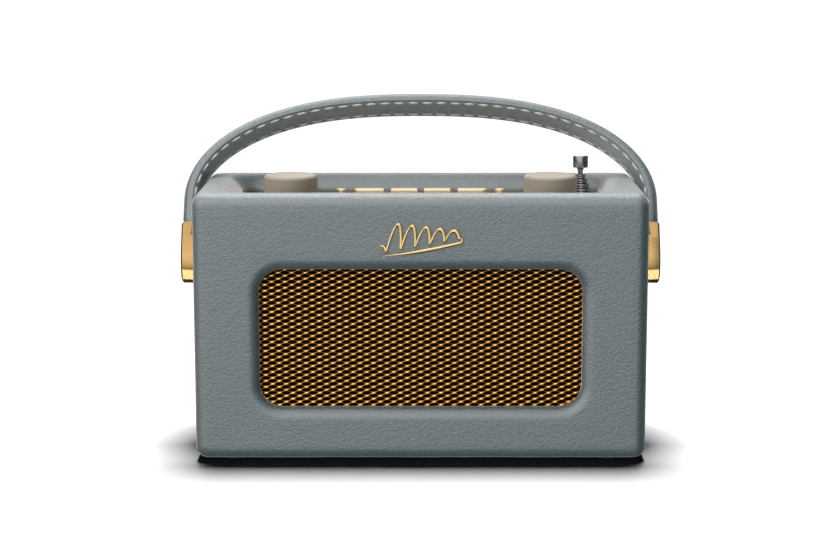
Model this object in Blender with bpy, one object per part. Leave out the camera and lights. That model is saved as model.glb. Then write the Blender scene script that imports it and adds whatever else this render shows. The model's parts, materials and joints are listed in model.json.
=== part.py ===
"""A leather-covered portable radio, as the separate pieces it comes apart into.

Metres, +Z up. The front faces -Y. The origin is on the floor, under the middle of the whole
object's box, so the leaning handle and the badge both count in where the cabinet stands.
Depths are measured back from the cabinet's front face, and drops down from its top face.
"""

import math

import bmesh
import bpy
from mathutils import Vector

# Clearances
GAP = 0.0003
SKIN = 0.0012

# Cabinet
BODY_WIDTH = 0.210
BODY_DEPTH = 0.084
BODY_HEIGHT = 0.1248
BODY_ROUND = 0.0055
FOOT_HEIGHT = 0.0012
FLOOR_CLEAR = FOOT_HEIGHT + GAP
WALL = 0.010
TOP_EXTRA = 0.0028
TOP_Z = FLOOR_CLEAR + BODY_HEIGHT
MID_Z = FLOOR_CLEAR + BODY_HEIGHT / 2
HALF_WIDTH = BODY_WIDTH / 2
BEYOND = 0.004

# Grille opening
WINDOW_WIDTH = 0.1494
WINDOW_HEIGHT = 0.065
WINDOW_DROP = 0.06785
WINDOW_ROUND = 0.0108
BEVEL_WIDTH = 0.0042
BEVEL_DEPTH = 0.0042
ROLL_END = 0.0060
TUNNEL_END = 0.020
WINDOW_Z = TOP_Z - WINDOW_DROP

# Mesh, cloth and board behind the opening, and the speaker on the board
MESH_THICK = 0.0008
CLOTH_THICK = 0.0004
BOARD_BACK = 0.0112
SPEAKER_HOLE_R = 0.031
BASKET = (
    (0.0360, 0.0115), (0.0360, 0.0130), (0.0335, 0.0132), (0.0215, 0.0310), (0.0215, 0.0325),
    (0.0080, 0.0325), (0.0080, 0.0310), (0.0200, 0.0308), (0.0322, 0.0128), (0.0322, 0.0115),
)
CONE = (
    (0.0318, 0.0118), (0.0318, 0.0124), (0.0282, 0.0138), (0.0090, 0.0262),
    (0.0075, 0.0262), (0.0075, 0.0252), (0.0272, 0.0122), (0.0300, 0.0110),
)
DUST_CAP = (
    (0.0088, 0.0240), (0.0078, 0.0215), (0.0045, 0.0195), (0.0020, 0.0190),
    (0.0018, 0.0196), (0.0042, 0.0202), (0.0070, 0.0222), (0.0078, 0.0242),
)
MAGNET = ((0.0190, 0.0328), (0.0200, 0.0338), (0.0200, 0.0440), (0.0190, 0.0450))

# Top recess and its panel
RECESS_WIDTH = 0.174
RECESS_LENGTH = 0.056
RECESS_DEPTH = 0.0096
RECESS_ROUND = 0.0093
LIP = 0.0050
PANEL_THICK = 0.0015
MID_DEPTH = BODY_DEPTH / 2
PANEL_TOP = TOP_Z - RECESS_DEPTH
PANEL_LOW = PANEL_TOP - PANEL_THICK
THROAT_HALF_X = 0.084
THROAT_HALF_Y = 0.024
THROAT_LOW = 0.105
LENS_HALF_X = 0.027
LENS_HALF_Y = 0.0065
LENS_ROUND = 0.0015
LENS_DEPTH = 0.030
LENS_SUNK = 0.0002
DISPLAY_HALF_X = 0.030
DISPLAY_HALF_Y = 0.0085

# Knobs, on the shafts of two encoders
KNOB_X = 0.0619
KNOB_R = 0.01295
KNOB_TOP = TOP_Z + 0.0037
KNOB_LOW = PANEL_TOP + 0.0009
SHAFT_R = 0.003
PLUNGER_LOW = 0.0008
PLUNGER_TOP = 0.0027
BOARD_TOP = 0.1080
BOARD_THICK = 0.0016
ENCODER_HALF = 0.0062
ENCODER_TOP = PANEL_LOW - 0.0008
SHAFT_TOP = KNOB_TOP - 0.0028
SHAFT_HOLE_R = 0.0042
KNOB_DISH_R = 0.0108
KNOB_DISH = 0.0003

# Push buttons
BUTTON_DEPTH = 0.050
BUTTON_TOP = TOP_Z - 0.0042
BUTTON_LENGTH = 0.0066
PRESETS = ((-0.0247, 0.0142), (-0.0079, 0.0128), (0.0080, 0.0128), (0.0248, 0.0140))
ROUND_BUTTON_X = 0.0381
ROUND_BUTTON_R = 0.00245
BUTTON_LOW = 0.1126
STEM_R = 0.0016
STEM_INSET = 0.0018
FLANGE = 0.0007
FLANGE_LOW = PANEL_LOW - 0.0010
FLANGE_TOP = PANEL_LOW - GAP
STEM_TOP = PANEL_LOW - 0.0018
BUTTON_EASE = 0.0005
BUTTON_CORNER = 0.0006
BUTTON_END = 0.0029
SWITCH_HALF = 0.0022
SWITCH_TOP = 0.1115
CONTROL_BOARD_HALF_X = 0.0705
CONTROL_BOARD_DEPTHS = (0.020, 0.064)

# Telescopic aerial: outer radius, wall and top of each tube, outermost first
AERIAL_X = 0.0775
AERIAL_DEPTH = 0.0585
AERIAL_BUSH_R = 0.0042
AERIAL_TUBES = (
    ("antenna_bush", AERIAL_BUSH_R, 0.00045, 0.1214, 0.024),
    ("antenna_tube_1", 0.0036, 0.00040, 0.1238, 0.027),
    ("antenna_tube_2", 0.00305, 0.00040, 0.1261, 0.029),
    ("antenna_tube_3", 0.0025, 0.00110, 0.1284, 0.031),
)
AERIAL_ROD_R = 0.0012
AERIAL_ROD_LOW = 0.033
CAP_LOW = TOP_Z + 0.0049
CAP_TOP = TOP_Z + 0.0109
CAP_R = 0.00365
CAP_EASE = 0.0005

# Handle: an arch in a plane through the pivots, leaning back at rest
PIVOT_DEPTH = MID_DEPTH
PIVOT_DROP = 0.0403
LEAN = math.radians(28.6)
ARCH_HALF = 0.1092
ARCH_FOOT = 0.0315
ARCH_RISE = 0.0504
ARCH_POWER_X = 2.48
ARCH_POWER_R = 2.02
STRAP_WIDTH = 0.020
STRAP_THICK = 0.0053
STRAP_POWER = 5.0
LINING_THICK = 0.0012
CORE_HALF = 0.006
CORE_THICK = 0.0008
STRAP_END = 0.012
NECK_THICK = 0.82
NECK_WIDTH = 0.94
NECK_LENGTH = 0.003

# Brass end fittings of the handle
FITTING_INNER = 0.1075
FITTING_EDGE = 0.1135
FITTING_OUTER = 0.1143
FITTING_DOME = ((0.0, FITTING_EDGE), (0.02, 0.11385), (0.06, 0.1142), (0.60, FITTING_OUTER))
FITTING_HALF = 0.0108
FITTING_TOP = 0.0187
FITTING_SHOULDER = 0.008
FITTING_LOW = -0.0086
PIN_R = 0.0020
PIN_CLEAR = 0.00008
PIN_HEAD_R = 0.0035
PIN_END = 0.0950
PIN_HEAD_X = 0.1120
PIN_HEAD_EDGE = 0.1134
PIN_HEAD_OUTER = 0.1140
PIN_SLOT_X = 0.1136
PIN_SLOT_HALF = 0.0004
PIN_EASE = 0.0008
BUSH_R = 0.0040
BUSH_ENDS = (0.0938, 0.1046)
WASHER_R = 0.0055
SIDE_HOLE_R = BUSH_R + GAP

# Ornament on the front
BADGE_WIDTH = 0.0340
BADGE_DROP = 0.0211
BADGE_WIRE = 0.00055
BADGE_WAVES = 5
BADGE_START = -0.1
BADGE_HIGH = 0.0092
BADGE_LOW = 0.0030
BADGE_SLANT = 0.36
BADGE_TILT = math.radians(10)
BADGE_TURN = 0.0010
BADGE_OVERRUN = 0.0020

# Back: panel, battery door and what is behind them
REBATE_HALF_X = 0.098
REBATE_HALF_Z = 0.055
REBATE_ROUND = 0.005
PANEL_BACK = BODY_DEPTH - SKIN
BACK_THICK = 0.004
SCREW_X = 0.070
SCREW_INSET = 0.0028
SCREW_R = 0.0010
SCREW_END = 0.0735
SCREW_HEAD_R = 0.0024
SCREW_SEAT = 0.0831
SCREW_EDGE = 0.0836
SCREW_TOP = 0.0839
DOOR_HALF_X = 0.057
DOOR_LOW = 0.0206
DOOR_HIGH = 0.0500
DOOR_THICK = 0.0022
DOOR_PIN_R = 0.00075
DOOR_PIN_LONG = 0.0026
NOTCH_HALF = 0.008
NOTCH_DEEP = 0.0012
NOTCH_TALL = 0.004
TRAY_HALF_X = 0.061
TRAY_LOW = 0.0165
TRAY_HIGH = 0.0535
TRAY_FRONT = 0.055
TRAY_WALL = 0.0015
POST_R = 0.002
POSTS = ((-0.050, 0.060), (0.050, 0.060), (-0.050, 0.073), (0.050, 0.073))
PACK_HALF_X = 0.056
PACK_DEPTHS = (0.0575, 0.0760)
PACK_HEIGHTS = (0.0185, 0.0500)
PACK_ROUND = 0.004
MAIN_BOARD_Z = 0.0583
MAIN_BOARD_HALF_X = 0.066
MAIN_BOARD_DEPTHS = (0.052, 0.0778)
SOCKET_FRONT = 0.069
SOCKETS = (
    ("dc_socket", -0.040, 0.0050, 0.0095, 0.0028),
    ("headphone_socket", -0.056, 0.0040, 0.0080, 0.0018),
)

FEET_X = 0.088
FEET_DEPTH = (0.014, 0.070)
FOOT_R = 0.0065

ROUND_STEPS = 20
SIDES = (("left", -1), ("right", 1))


def squarish(angle, half_u, half_v, power_u, power_v):
    """A point of a superellipse, at this parameter angle."""
    c, s = math.cos(angle), math.sin(angle)
    u = math.copysign(abs(c) ** (2 / power_u), c) * half_u
    v = math.copysign(abs(s) ** (2 / power_v), s) * half_v
    return u, v


def crown(count=8):
    """The strap's rounded outside, from its +Y edge over the top to its -Y edge."""
    low = LINING_THICK + GAP + 0.0006
    points = []
    for i in range(count + 1):
        s, t = squarish(math.pi * i / count, STRAP_WIDTH / 2, STRAP_THICK - low, STRAP_POWER, STRAP_POWER)
        points.append((s, low + t))
    return points


def handle_rear():
    """How far behind the pivot the leaning strap reaches."""
    apex = ARCH_FOOT + ARCH_RISE
    lining = [(STRAP_WIDTH / 2 - GAP, 0.0)]
    return max((apex + t) * math.sin(LEAN) + s * math.cos(LEAN) for s, t in crown() + lining)


BADGE_PROUD = GAP + 2 * BADGE_WIRE
FRONT_Y = -(PIVOT_DEPTH + handle_rear() - BADGE_PROUD) / 2
PIVOT_Y = FRONT_Y + PIVOT_DEPTH
PIVOT_Z = TOP_Z - PIVOT_DROP


def y_at(depth):
    return FRONT_Y + depth


def material(name, colour, roughness, metallic=0.0):
    made = bpy.data.materials.get(name)
    if made is None:
        made = bpy.data.materials.new(name)
        made.use_nodes = True
        shader = made.node_tree.nodes["Principled BSDF"]
        shader.inputs["Base Color"].default_value = (*colour, 1.0)
        shader.inputs["Roughness"].default_value = roughness
        shader.inputs["Metallic"].default_value = metallic
    return made


LOOKS = {
    "leather": ((0.16, 0.19, 0.20), 0.55, 0.0),
    "wood": ((0.45, 0.33, 0.20), 0.70, 0.0),
    "brass": ((0.60, 0.38, 0.12), 0.22, 1.0),
    "satin_brass": ((0.66, 0.50, 0.28), 0.38, 1.0),
    "cream": ((0.66, 0.60, 0.50), 0.40, 0.0),
    "champagne": ((0.72, 0.66, 0.54), 0.35, 0.6),
    "chrome": ((0.80, 0.80, 0.82), 0.10, 1.0),
    "steel": ((0.50, 0.50, 0.52), 0.35, 1.0),
    "black_plastic": ((0.02, 0.02, 0.022), 0.50, 0.0),
    "cloth": ((0.015, 0.014, 0.013), 0.90, 0.0),
    "paper": ((0.06, 0.06, 0.06), 0.85, 0.0),
    "board": ((0.02, 0.12, 0.05), 0.50, 0.0),
    "rubber": ((0.02, 0.02, 0.02), 0.80, 0.0),
    "glass": ((0.03, 0.03, 0.035), 0.08, 0.0),
}


def new_object(name, bm, look):
    bmesh.ops.recalc_face_normals(bm, faces=bm.faces)
    mesh = bpy.data.meshes.new(name)
    bm.to_mesh(mesh)
    bm.free()
    obj = bpy.data.objects.new(name, mesh)
    mesh.materials.append(material(look, *LOOKS[look]))
    bpy.context.scene.collection.objects.link(obj)
    return obj


def loft(name, rings, look, closed=False, smooth=False):
    """A skin over rings of equally many points. Its ends are capped, or joined to each other."""
    bm = bmesh.new()
    rows = [[bm.verts.new(point) for point in ring] for ring in rings]
    pairs = list(zip(rows, rows[1:]))
    if closed:
        pairs.append((rows[-1], rows[0]))
    for first, second in pairs:
        for i in range(len(first)):
            j = (i + 1) % len(first)
            bm.faces.new((first[i], first[j], second[j], second[i]))
    if not closed:
        bm.faces.new(rows[0])
        bm.faces.new(rows[-1])
    obj = new_object(name, bm, look)
    if smooth:
        obj.data.shade_smooth()
        obj.data.set_sharp_from_angle(angle=math.radians(35))
    return obj


def round_rect(half_u, half_v, radius, steps=4):
    """The points of a rectangle with round corners, centred on 0."""
    points = []
    for k, (su, sv) in enumerate(((1, 1), (-1, 1), (-1, -1), (1, -1))):
        for i in range(steps + 1):
            a = math.pi / 2 * (k + i / steps)
            u = su * (half_u - radius) + radius * math.cos(a)
            v = sv * (half_v - radius) + radius * math.sin(a)
            points.append((u, v))
    return points


def circle(radius, steps=ROUND_STEPS):
    angles = [2 * math.pi * i / steps for i in range(steps)]
    return [(radius * math.cos(a), radius * math.sin(a)) for a in angles]


def across_x(outline, x, centre):
    return [Vector((x, centre[0] + u, centre[1] + v)) for u, v in outline]


def across_y(outline, y, centre):
    return [Vector((centre[0] + u, y, centre[1] + v)) for u, v in outline]


def across_z(outline, z, centre):
    return [Vector((centre[0] + u, centre[1] + v, z)) for u, v in outline]


def turned(name, profile, centre, across, look, closed=False, steps=ROUND_STEPS):
    """A turned piece: profile lists (radius, place along the axis)."""
    rings = [across(circle(r, steps), along, centre) for r, along in profile]
    return loft(name, rings, look, closed, smooth=True)


def rod(name, radius, low, high, centre, across, look, steps=ROUND_STEPS):
    return turned(name, ((radius, low), (radius, high)), centre, across, look, steps=steps)


def tube(name, outer, inner, low, high, centre, across, look, steps=ROUND_STEPS):
    profile = ((outer, low), (outer, high), (inner, high), (inner, low))
    return turned(name, profile, centre, across, look, closed=True, steps=steps)


def plate(name, outline, low, high, centre, across, look):
    return loft(name, [across(outline, low, centre), across(outline, high, centre)], look)


def block(name, low, high, look, round_by=0.0, steps=3):
    (x0, y0, z0), (x1, y1, z1) = low, high
    corners = ((x0, y0), (x1, y0), (x1, y1), (x0, y1))
    obj = loft(name, [across_z(corners, z, (0, 0)) for z in (z0, z1)], look)
    if round_by:
        bevel = obj.modifiers.new("round", "BEVEL")
        bevel.width = round_by
        bevel.segments = steps
        bevel.limit_method = "NONE"
        obj.data.shade_smooth()
        obj.data.set_sharp_from_angle(angle=math.radians(35))
    return obj


def boolean(obj, other, operation):
    step = obj.modifiers.new(other.name, "BOOLEAN")
    step.operation = operation
    step.solver = "EXACT"
    step.object = other
    other.hide_render = True
    other.display_type = "WIRE"


def cut(obj, *cutters):
    for cutter in cutters:
        boolean(obj, cutter, "DIFFERENCE")


def join(obj, *others):
    for other in others:
        boolean(obj, other, "UNION")


def body_block(name, inset, back_inset, look):
    """The cabinet's outer form, drawn in by an inset on every side."""
    low = (-HALF_WIDTH + inset, y_at(inset), FLOOR_CLEAR + inset)
    high = (HALF_WIDTH - inset, y_at(BODY_DEPTH - back_inset), TOP_Z - inset)
    return block(name, low, high, look, BODY_ROUND - inset, 3)


def window_ring(grow, depth):
    outline = round_rect(WINDOW_WIDTH / 2 + grow, WINDOW_HEIGHT / 2 + grow, WINDOW_ROUND + grow, 4)
    return across_y(outline, y_at(depth), (0, WINDOW_Z))


def window_prism(name, grow, front, back, look="wood"):
    return loft(name, [window_ring(grow, front), window_ring(grow, back)], look)


def recess_ring(grow, z):
    outline = round_rect(RECESS_WIDTH / 2 + grow, RECESS_LENGTH / 2 + grow, RECESS_ROUND + grow, 4)
    return across_z(outline, z, (0, y_at(MID_DEPTH)))


def recess_prism(name, grow, low, high, look="wood"):
    return loft(name, [recess_ring(grow, low), recess_ring(grow, high)], look)


def rebate_prism(name, grow, front, back, look="wood"):
    outline = round_rect(REBATE_HALF_X + grow, REBATE_HALF_Z + grow, REBATE_ROUND + grow, 3)
    return plate(name, outline, y_at(front), y_at(back), (0, MID_Z), across_y, look)


def side_holes(name):
    """The two bores for the handle's bushes."""
    low, high = HALF_WIDTH - 0.015, HALF_WIDTH + 0.005
    centre = (PIVOT_Y, PIVOT_Z)
    return [rod(name + n, SIDE_HOLE_R, s * low, s * high, centre, across_x, "wood") for n, s in SIDES]


def leather_cover():
    """A skin over the cabinet that rolls into the grille opening and down the recess's walls."""
    cover = body_block("leather_cover", 0.0, 0.0, "leather")
    inside = body_block("cut_inside", SKIN, SKIN, "wood")
    roll = window_prism("keep_roll", BEVEL_WIDTH + SKIN, -BEYOND, ROLL_END)
    lip = recess_prism("keep_lip", LIP + SKIN, TOP_Z - LIP, TOP_Z + BEYOND)
    wall = recess_prism("keep_wall", SKIN, PANEL_LOW, TOP_Z + BEYOND)
    cut(inside, roll, lip, wall)
    slope = BEVEL_WIDTH / BEVEL_DEPTH
    opening = ((BEVEL_WIDTH + BEYOND * slope, -BEYOND), (0.0, BEVEL_DEPTH), (0.0, TUNNEL_END))
    window = loft("cut_window", [window_ring(grow, depth) for grow, depth in opening], "wood")
    well = ((0.0, PANEL_LOW - BEYOND), (0.0, TOP_Z - LIP), (LIP + BEYOND, TOP_Z + BEYOND))
    recess = loft("cut_recess", [recess_ring(grow, z) for grow, z in well], "wood")
    back = rebate_prism("cut_cover_back", 0.0, PANEL_BACK - 2 * BACK_THICK, BODY_DEPTH + BEYOND)
    cut(cover, inside, window, recess, back, *side_holes("cut_cover_side_"))


def screw_places():
    rise = REBATE_HALF_Z - SCREW_INSET
    signs = ((-1, -1), (1, -1), (-1, 1), (1, 1))
    return [(i, sx * SCREW_X, MID_Z + sz * rise) for i, (sx, sz) in enumerate(signs, 1)]


def cabinet():
    """The wooden box: open behind, with the grille opening in front and the panel's well on top."""
    inset = SKIN + GAP
    box = body_block("cabinet", inset, inset, "wood")
    hollow_x = HALF_WIDTH - inset - WALL
    hollow_z = BODY_HEIGHT / 2 - inset - WALL
    low = (-hollow_x, y_at(inset + WALL), MID_Z - hollow_z)
    high = (hollow_x, y_at(BODY_DEPTH + BEYOND), MID_Z + hollow_z - TOP_EXTRA)
    hollow = block("cut_hollow", low, high, "wood")
    tunnel = window_prism("cut_tunnel", BEVEL_WIDTH + SKIN + GAP, -BEYOND, TUNNEL_END)
    well = recess_prism("cut_well", SKIN + GAP, PANEL_LOW - GAP, TOP_Z + BEYOND)
    brim = recess_prism("cut_brim", LIP + SKIN + GAP, TOP_Z - LIP - GAP, TOP_Z + BEYOND)
    rebate = rebate_prism("cut_rebate", 0.0, PANEL_BACK - BACK_THICK - GAP, BODY_DEPTH + BEYOND)
    throat_low = (-THROAT_HALF_X, y_at(MID_DEPTH - THROAT_HALF_Y), THROAT_LOW)
    throat_high = (THROAT_HALF_X, y_at(MID_DEPTH + THROAT_HALF_Y), TOP_Z + BEYOND)
    throat = block("cut_throat", throat_low, throat_high, "wood")
    front, end = y_at(SCREW_END - GAP), y_at(BODY_DEPTH)
    holes = [
        rod("cut_screw_%d" % i, SCREW_R + GAP, front, end, (x, z), across_y, "wood", 12)
        for i, x, z in screw_places()
    ]
    cut(box, hollow, tunnel, well, brim, rebate, throat, *side_holes("cut_side_"), *holes)


def grille():
    """Perforated brass, the black cloth behind it and the board that both are fixed to."""
    grow = BEVEL_WIDTH + SKIN
    mesh = ROLL_END + GAP
    cloth = mesh + MESH_THICK + GAP
    board = cloth + CLOTH_THICK + GAP
    window_prism("grille_mesh", grow, mesh, mesh + MESH_THICK, "satin_brass")
    window_prism("grille_cloth", grow, cloth, cloth + CLOTH_THICK, "cloth")
    baffle = window_prism("baffle_board", grow, board, BOARD_BACK, "wood")
    centre = (0, WINDOW_Z)
    hole = rod("cut_speaker_hole", SPEAKER_HOLE_R, FRONT_Y, y_at(TUNNEL_END), centre, across_y, "wood")
    cut(baffle, hole)


def speaker():
    pieces = (
        ("speaker_frame", BASKET, "steel", True),
        ("speaker_cone", CONE, "paper", True),
        ("speaker_dust_cap", DUST_CAP, "paper", True),
        ("speaker_magnet", MAGNET, "steel", False),
    )
    for name, profile, look, closed in pieces:
        placed = [(r, y_at(depth)) for r, depth in profile]
        turned(name, placed, (0, WINDOW_Z), across_y, look, closed)


def flourish(count=110, back=36):
    """A pen stroke: slanting waves that die away to the right, and a line that turns back under them."""
    line = []
    for i in range(count + 1):
        t = BADGE_START + (1 - BADGE_START) * i / count
        high = BADGE_LOW + BADGE_HIGH * (1 - t) if t > 0 else BADGE_LOW
        z = high * (1 - math.cos(2 * math.pi * BADGE_WAVES * t)) / 2
        line.append((BADGE_WIDTH * (t - 0.5) + BADGE_SLANT * z, z))
    end = BADGE_WIDTH / 2
    for i in range(1, 9):
        a = math.pi * i / 8
        line.append((end + BADGE_TURN * math.sin(a), BADGE_TURN * (math.cos(a) - 1)))
    for i in range(1, back + 1):
        t = i / back
        sag = 2 + 0.7 * math.sin(math.pi * t)
        line.append((end - (BADGE_WIDTH + BADGE_OVERRUN) * t, -BADGE_TURN * sag))
    c, s = math.cos(BADGE_TILT), math.sin(BADGE_TILT)
    line = [(x * c - z * s, x * s + z * c) for x, z in line]
    xs, zs = zip(*line)
    middle = ((min(xs) + max(xs)) / 2, (min(zs) + max(zs)) / 2)
    return [(x - middle[0], z - middle[1]) for x, z in line]


def badge():
    """An ornament in bent brass wire, standing just off the leather."""
    line = flourish()
    spine = bpy.data.curves.new("badge", "CURVE")
    spine.dimensions = "3D"
    spine.bevel_depth = BADGE_WIRE
    spine.bevel_resolution = 1
    spine.use_fill_caps = True
    stroke = spine.splines.new("POLY")
    stroke.points.add(len(line) - 1)
    y = FRONT_Y - GAP - BADGE_WIRE
    for point, (x, z) in zip(stroke.points, line):
        point.co = (x, y, TOP_Z - BADGE_DROP + z, 1)
    obj = bpy.data.objects.new("badge", spine)
    spine.materials.append(material("brass", *LOOKS["brass"]))
    bpy.context.scene.collection.objects.link(obj)


def button_outline(width, length, blunt_left, blunt_right, grow=0.0):
    """A rectangle whose corners are round, and rounder at an outer end of the row."""
    points = []
    corners = ((1, 1, blunt_right), (-1, 1, blunt_left), (-1, -1, blunt_left), (1, -1, blunt_right))
    for k, (su, sv, blunt) in enumerate(corners):
        radius = min(BUTTON_END if blunt else BUTTON_CORNER, length / 2 - GAP) + grow
        for i in range(4):
            a = math.pi / 2 * (k + i / 3)
            u = su * (width / 2 + grow - radius) + radius * math.cos(a)
            v = sv * (length / 2 + grow - radius) + radius * math.sin(a)
            points.append((u, v))
    return points


def through_panel(name, outline, centre):
    """A cutter for a hole in the panel."""
    return plate(name, outline, PANEL_LOW - BEYOND, PANEL_TOP + BEYOND, centre, across_z, "wood")


def buttons():
    """Four bar buttons and two round ones, with the holes that the panel needs for them."""
    holes = []
    for i, (x, width) in enumerate(PRESETS, 1):
        blunt = (i == 1, i == len(PRESETS))
        centre = (x, y_at(BUTTON_DEPTH))
        shape = (
            (-STEM_INSET, BUTTON_LOW), (-STEM_INSET, STEM_TOP), (FLANGE, FLANGE_LOW), (FLANGE, FLANGE_TOP),
            (0.0, FLANGE_TOP), (0.0, BUTTON_TOP - BUTTON_EASE), (-BUTTON_EASE, BUTTON_TOP),
        )
        rings = [
            across_z(button_outline(width + 2 * g, BUTTON_LENGTH + 2 * g, *blunt), z, centre)
            for g, z in shape
        ]
        loft("preset_button_%d" % i, rings, "champagne", smooth=True)
        outline = button_outline(width, BUTTON_LENGTH, *blunt, grow=GAP)
        holes.append(through_panel("cut_preset_%d" % i, outline, centre))
    for name, x in (("power_button", -ROUND_BUTTON_X), ("alarm_button", ROUND_BUTTON_X)):
        centre = (x, y_at(BUTTON_DEPTH))
        r = ROUND_BUTTON_R
        profile = (
            (STEM_R, BUTTON_LOW), (STEM_R, STEM_TOP), (r + FLANGE, FLANGE_LOW), (r + FLANGE, FLANGE_TOP),
            (r, FLANGE_TOP), (r, BUTTON_TOP - BUTTON_EASE), (r - BUTTON_EASE, BUTTON_TOP),
        )
        turned(name, profile, centre, across_z, "champagne")
        holes.append(through_panel("cut_" + name, circle(r + GAP), centre))
    return holes


def panel(button_holes):
    """The brass panel on the floor of the recess, and the display behind its window."""
    sheet = recess_prism("control_panel", -GAP, PANEL_LOW, PANEL_TOP, "satin_brass")
    place = (0, y_at(LENS_DEPTH))
    outline = round_rect(LENS_HALF_X, LENS_HALF_Y, LENS_ROUND, 3)
    grown = round_rect(LENS_HALF_X + GAP, LENS_HALF_Y + GAP, LENS_ROUND + GAP, 3)
    plate("display_lens", outline, PANEL_LOW, PANEL_TOP - LENS_SUNK, place, across_z, "glass")
    low = (-DISPLAY_HALF_X, y_at(LENS_DEPTH - DISPLAY_HALF_Y), BOARD_TOP + GAP)
    high = (DISPLAY_HALF_X, y_at(LENS_DEPTH + DISPLAY_HALF_Y), PANEL_LOW - GAP)
    block("display_module", low, high, "black_plastic")
    holes = [through_panel("cut_display", grown, place)]
    for name, side in SIDES:
        centre = (side * KNOB_X, y_at(MID_DEPTH))
        holes.append(through_panel("cut_shaft_" + name, circle(SHAFT_HOLE_R), centre))
    mast = circle(AERIAL_BUSH_R + GAP)
    holes.append(through_panel("cut_mast", mast, (AERIAL_X, y_at(AERIAL_DEPTH))))
    cut(sheet, *holes, *button_holes)


def knob(name, side):
    centre = (side * KNOB_X, y_at(MID_DEPTH))
    profile = (
        (KNOB_R, KNOB_LOW), (KNOB_R - 0.0002, KNOB_TOP - 0.0020), (KNOB_R - 0.0006, KNOB_TOP - 0.0007),
        (KNOB_R - 0.0015, KNOB_TOP), (KNOB_DISH_R, KNOB_TOP), (KNOB_DISH_R - KNOB_DISH, KNOB_TOP - KNOB_DISH),
    )
    body = turned(name, profile, centre, across_z, "cream", steps=28)
    roof = SHAFT_TOP + GAP
    cut(body, rod("cut_" + name, SHAFT_R + GAP, KNOB_LOW - BEYOND, roof, centre, across_z, "wood"))


def encoders():
    """Each shaft turns in its encoder. The tuning shaft also presses a plunger when it is pushed."""
    low, high = BOARD_TOP + GAP, ENCODER_TOP
    for name, side in (("volume", -1), ("tuning", 1)):
        x, y = centre = (side * KNOB_X, y_at(MID_DEPTH))
        near = (x - ENCODER_HALF, y - ENCODER_HALF, low)
        far = (x + ENCODER_HALF, y + ENCODER_HALF, high)
        body = block(name + "_encoder", near, far, "steel")
        bore = (low - BEYOND, high + BEYOND)
        cut(body, rod("cut_" + name + "_bore", SHAFT_R + GAP, *bore, centre, across_z, "wood"))
        bottom = low
        if name == "tuning":
            bottom = low + PLUNGER_TOP + GAP
            plunger = (low + PLUNGER_LOW, low + PLUNGER_TOP)
            rod("tuning_plunger", SHAFT_R - GAP, *plunger, centre, across_z, "black_plastic")
        rod(name + "_shaft", SHAFT_R, bottom, SHAFT_TOP, centre, across_z, "steel")
        knob(name + "_knob", side)


def control_board():
    low = (-CONTROL_BOARD_HALF_X, y_at(CONTROL_BOARD_DEPTHS[0]), BOARD_TOP - BOARD_THICK)
    high = (CONTROL_BOARD_HALF_X, y_at(CONTROL_BOARD_DEPTHS[1]), BOARD_TOP)
    board = block("control_board", low, high, "board")
    places = [x for x, _ in PRESETS] + [-ROUND_BUTTON_X, ROUND_BUTTON_X]
    y = y_at(BUTTON_DEPTH)
    switches = []
    for i, x in enumerate(places):
        near = (x - SWITCH_HALF, y - SWITCH_HALF, BOARD_TOP - BOARD_THICK / 2)
        far = (x + SWITCH_HALF, y + SWITCH_HALF, SWITCH_TOP)
        switches.append(block("add_switch_%d" % i, near, far, "board"))
    join(board, *switches)


def aerial():
    centre = (AERIAL_X, y_at(AERIAL_DEPTH))
    for name, outer, wall, top, low in AERIAL_TUBES:
        tube(name, outer, outer - wall, low, top, centre, across_z, "chrome", 16)
    rod("antenna_rod", AERIAL_ROD_R, AERIAL_ROD_LOW, CAP_LOW, centre, across_z, "chrome", 12)
    profile = (
        (CAP_R - CAP_EASE, CAP_LOW + GAP), (CAP_R, CAP_LOW + GAP + CAP_EASE),
        (CAP_R, CAP_TOP - CAP_EASE), (CAP_R - CAP_EASE, CAP_TOP),
    )
    turned("antenna_tip", profile, centre, across_z, "chrome")


def arch(count=30):
    """Stations along the strap's underside, left to right: x, height above the pivot, outward normal."""
    steps = 600
    fine = [(ARCH_HALF, STRAP_END), (ARCH_HALF, FITTING_TOP)]
    for i in range(1, steps + 1):
        x, r = squarish(math.pi / 2 * i / steps, ARCH_HALF, ARCH_RISE, ARCH_POWER_X, ARCH_POWER_R)
        fine.append((x, ARCH_FOOT + r))
    fine[-1] = (0.0, ARCH_FOOT + ARCH_RISE)
    run = [0.0]
    for a, b in zip(fine, fine[1:]):
        run.append(run[-1] + math.dist(a, b))
    half = count // 2
    wanted = [0.0, FITTING_TOP - STRAP_END, FITTING_TOP + GAP - STRAP_END]
    bend = FITTING_TOP + GAP - STRAP_END
    wanted += [bend + (run[-1] - bend) * i / half for i in range(1, half + 1)]
    side = [along(fine, run, w) for w in wanted]
    mirrored = [(-x, r, -nx, nr) for x, r, nx, nr in side[:-1]]
    return mirrored + side[::-1]


def along(points, run, wanted):
    """The point this far along a polyline, and the normal that points out of the arch."""
    k = 1
    while k < len(run) - 1 and run[k] < wanted:
        k += 1
    share = (wanted - run[k - 1]) / (run[k] - run[k - 1])
    (x0, r0), (x1, r1) = points[k - 1], points[k]
    long = math.dist(points[k - 1], points[k])
    normal = ((r1 - r0) / long, -(x1 - x0) / long)
    if k == len(run) - 1:
        normal = (0.0, 1.0)
    return x0 + share * (x1 - x0), r0 + share * (r1 - r0), *normal


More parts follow.
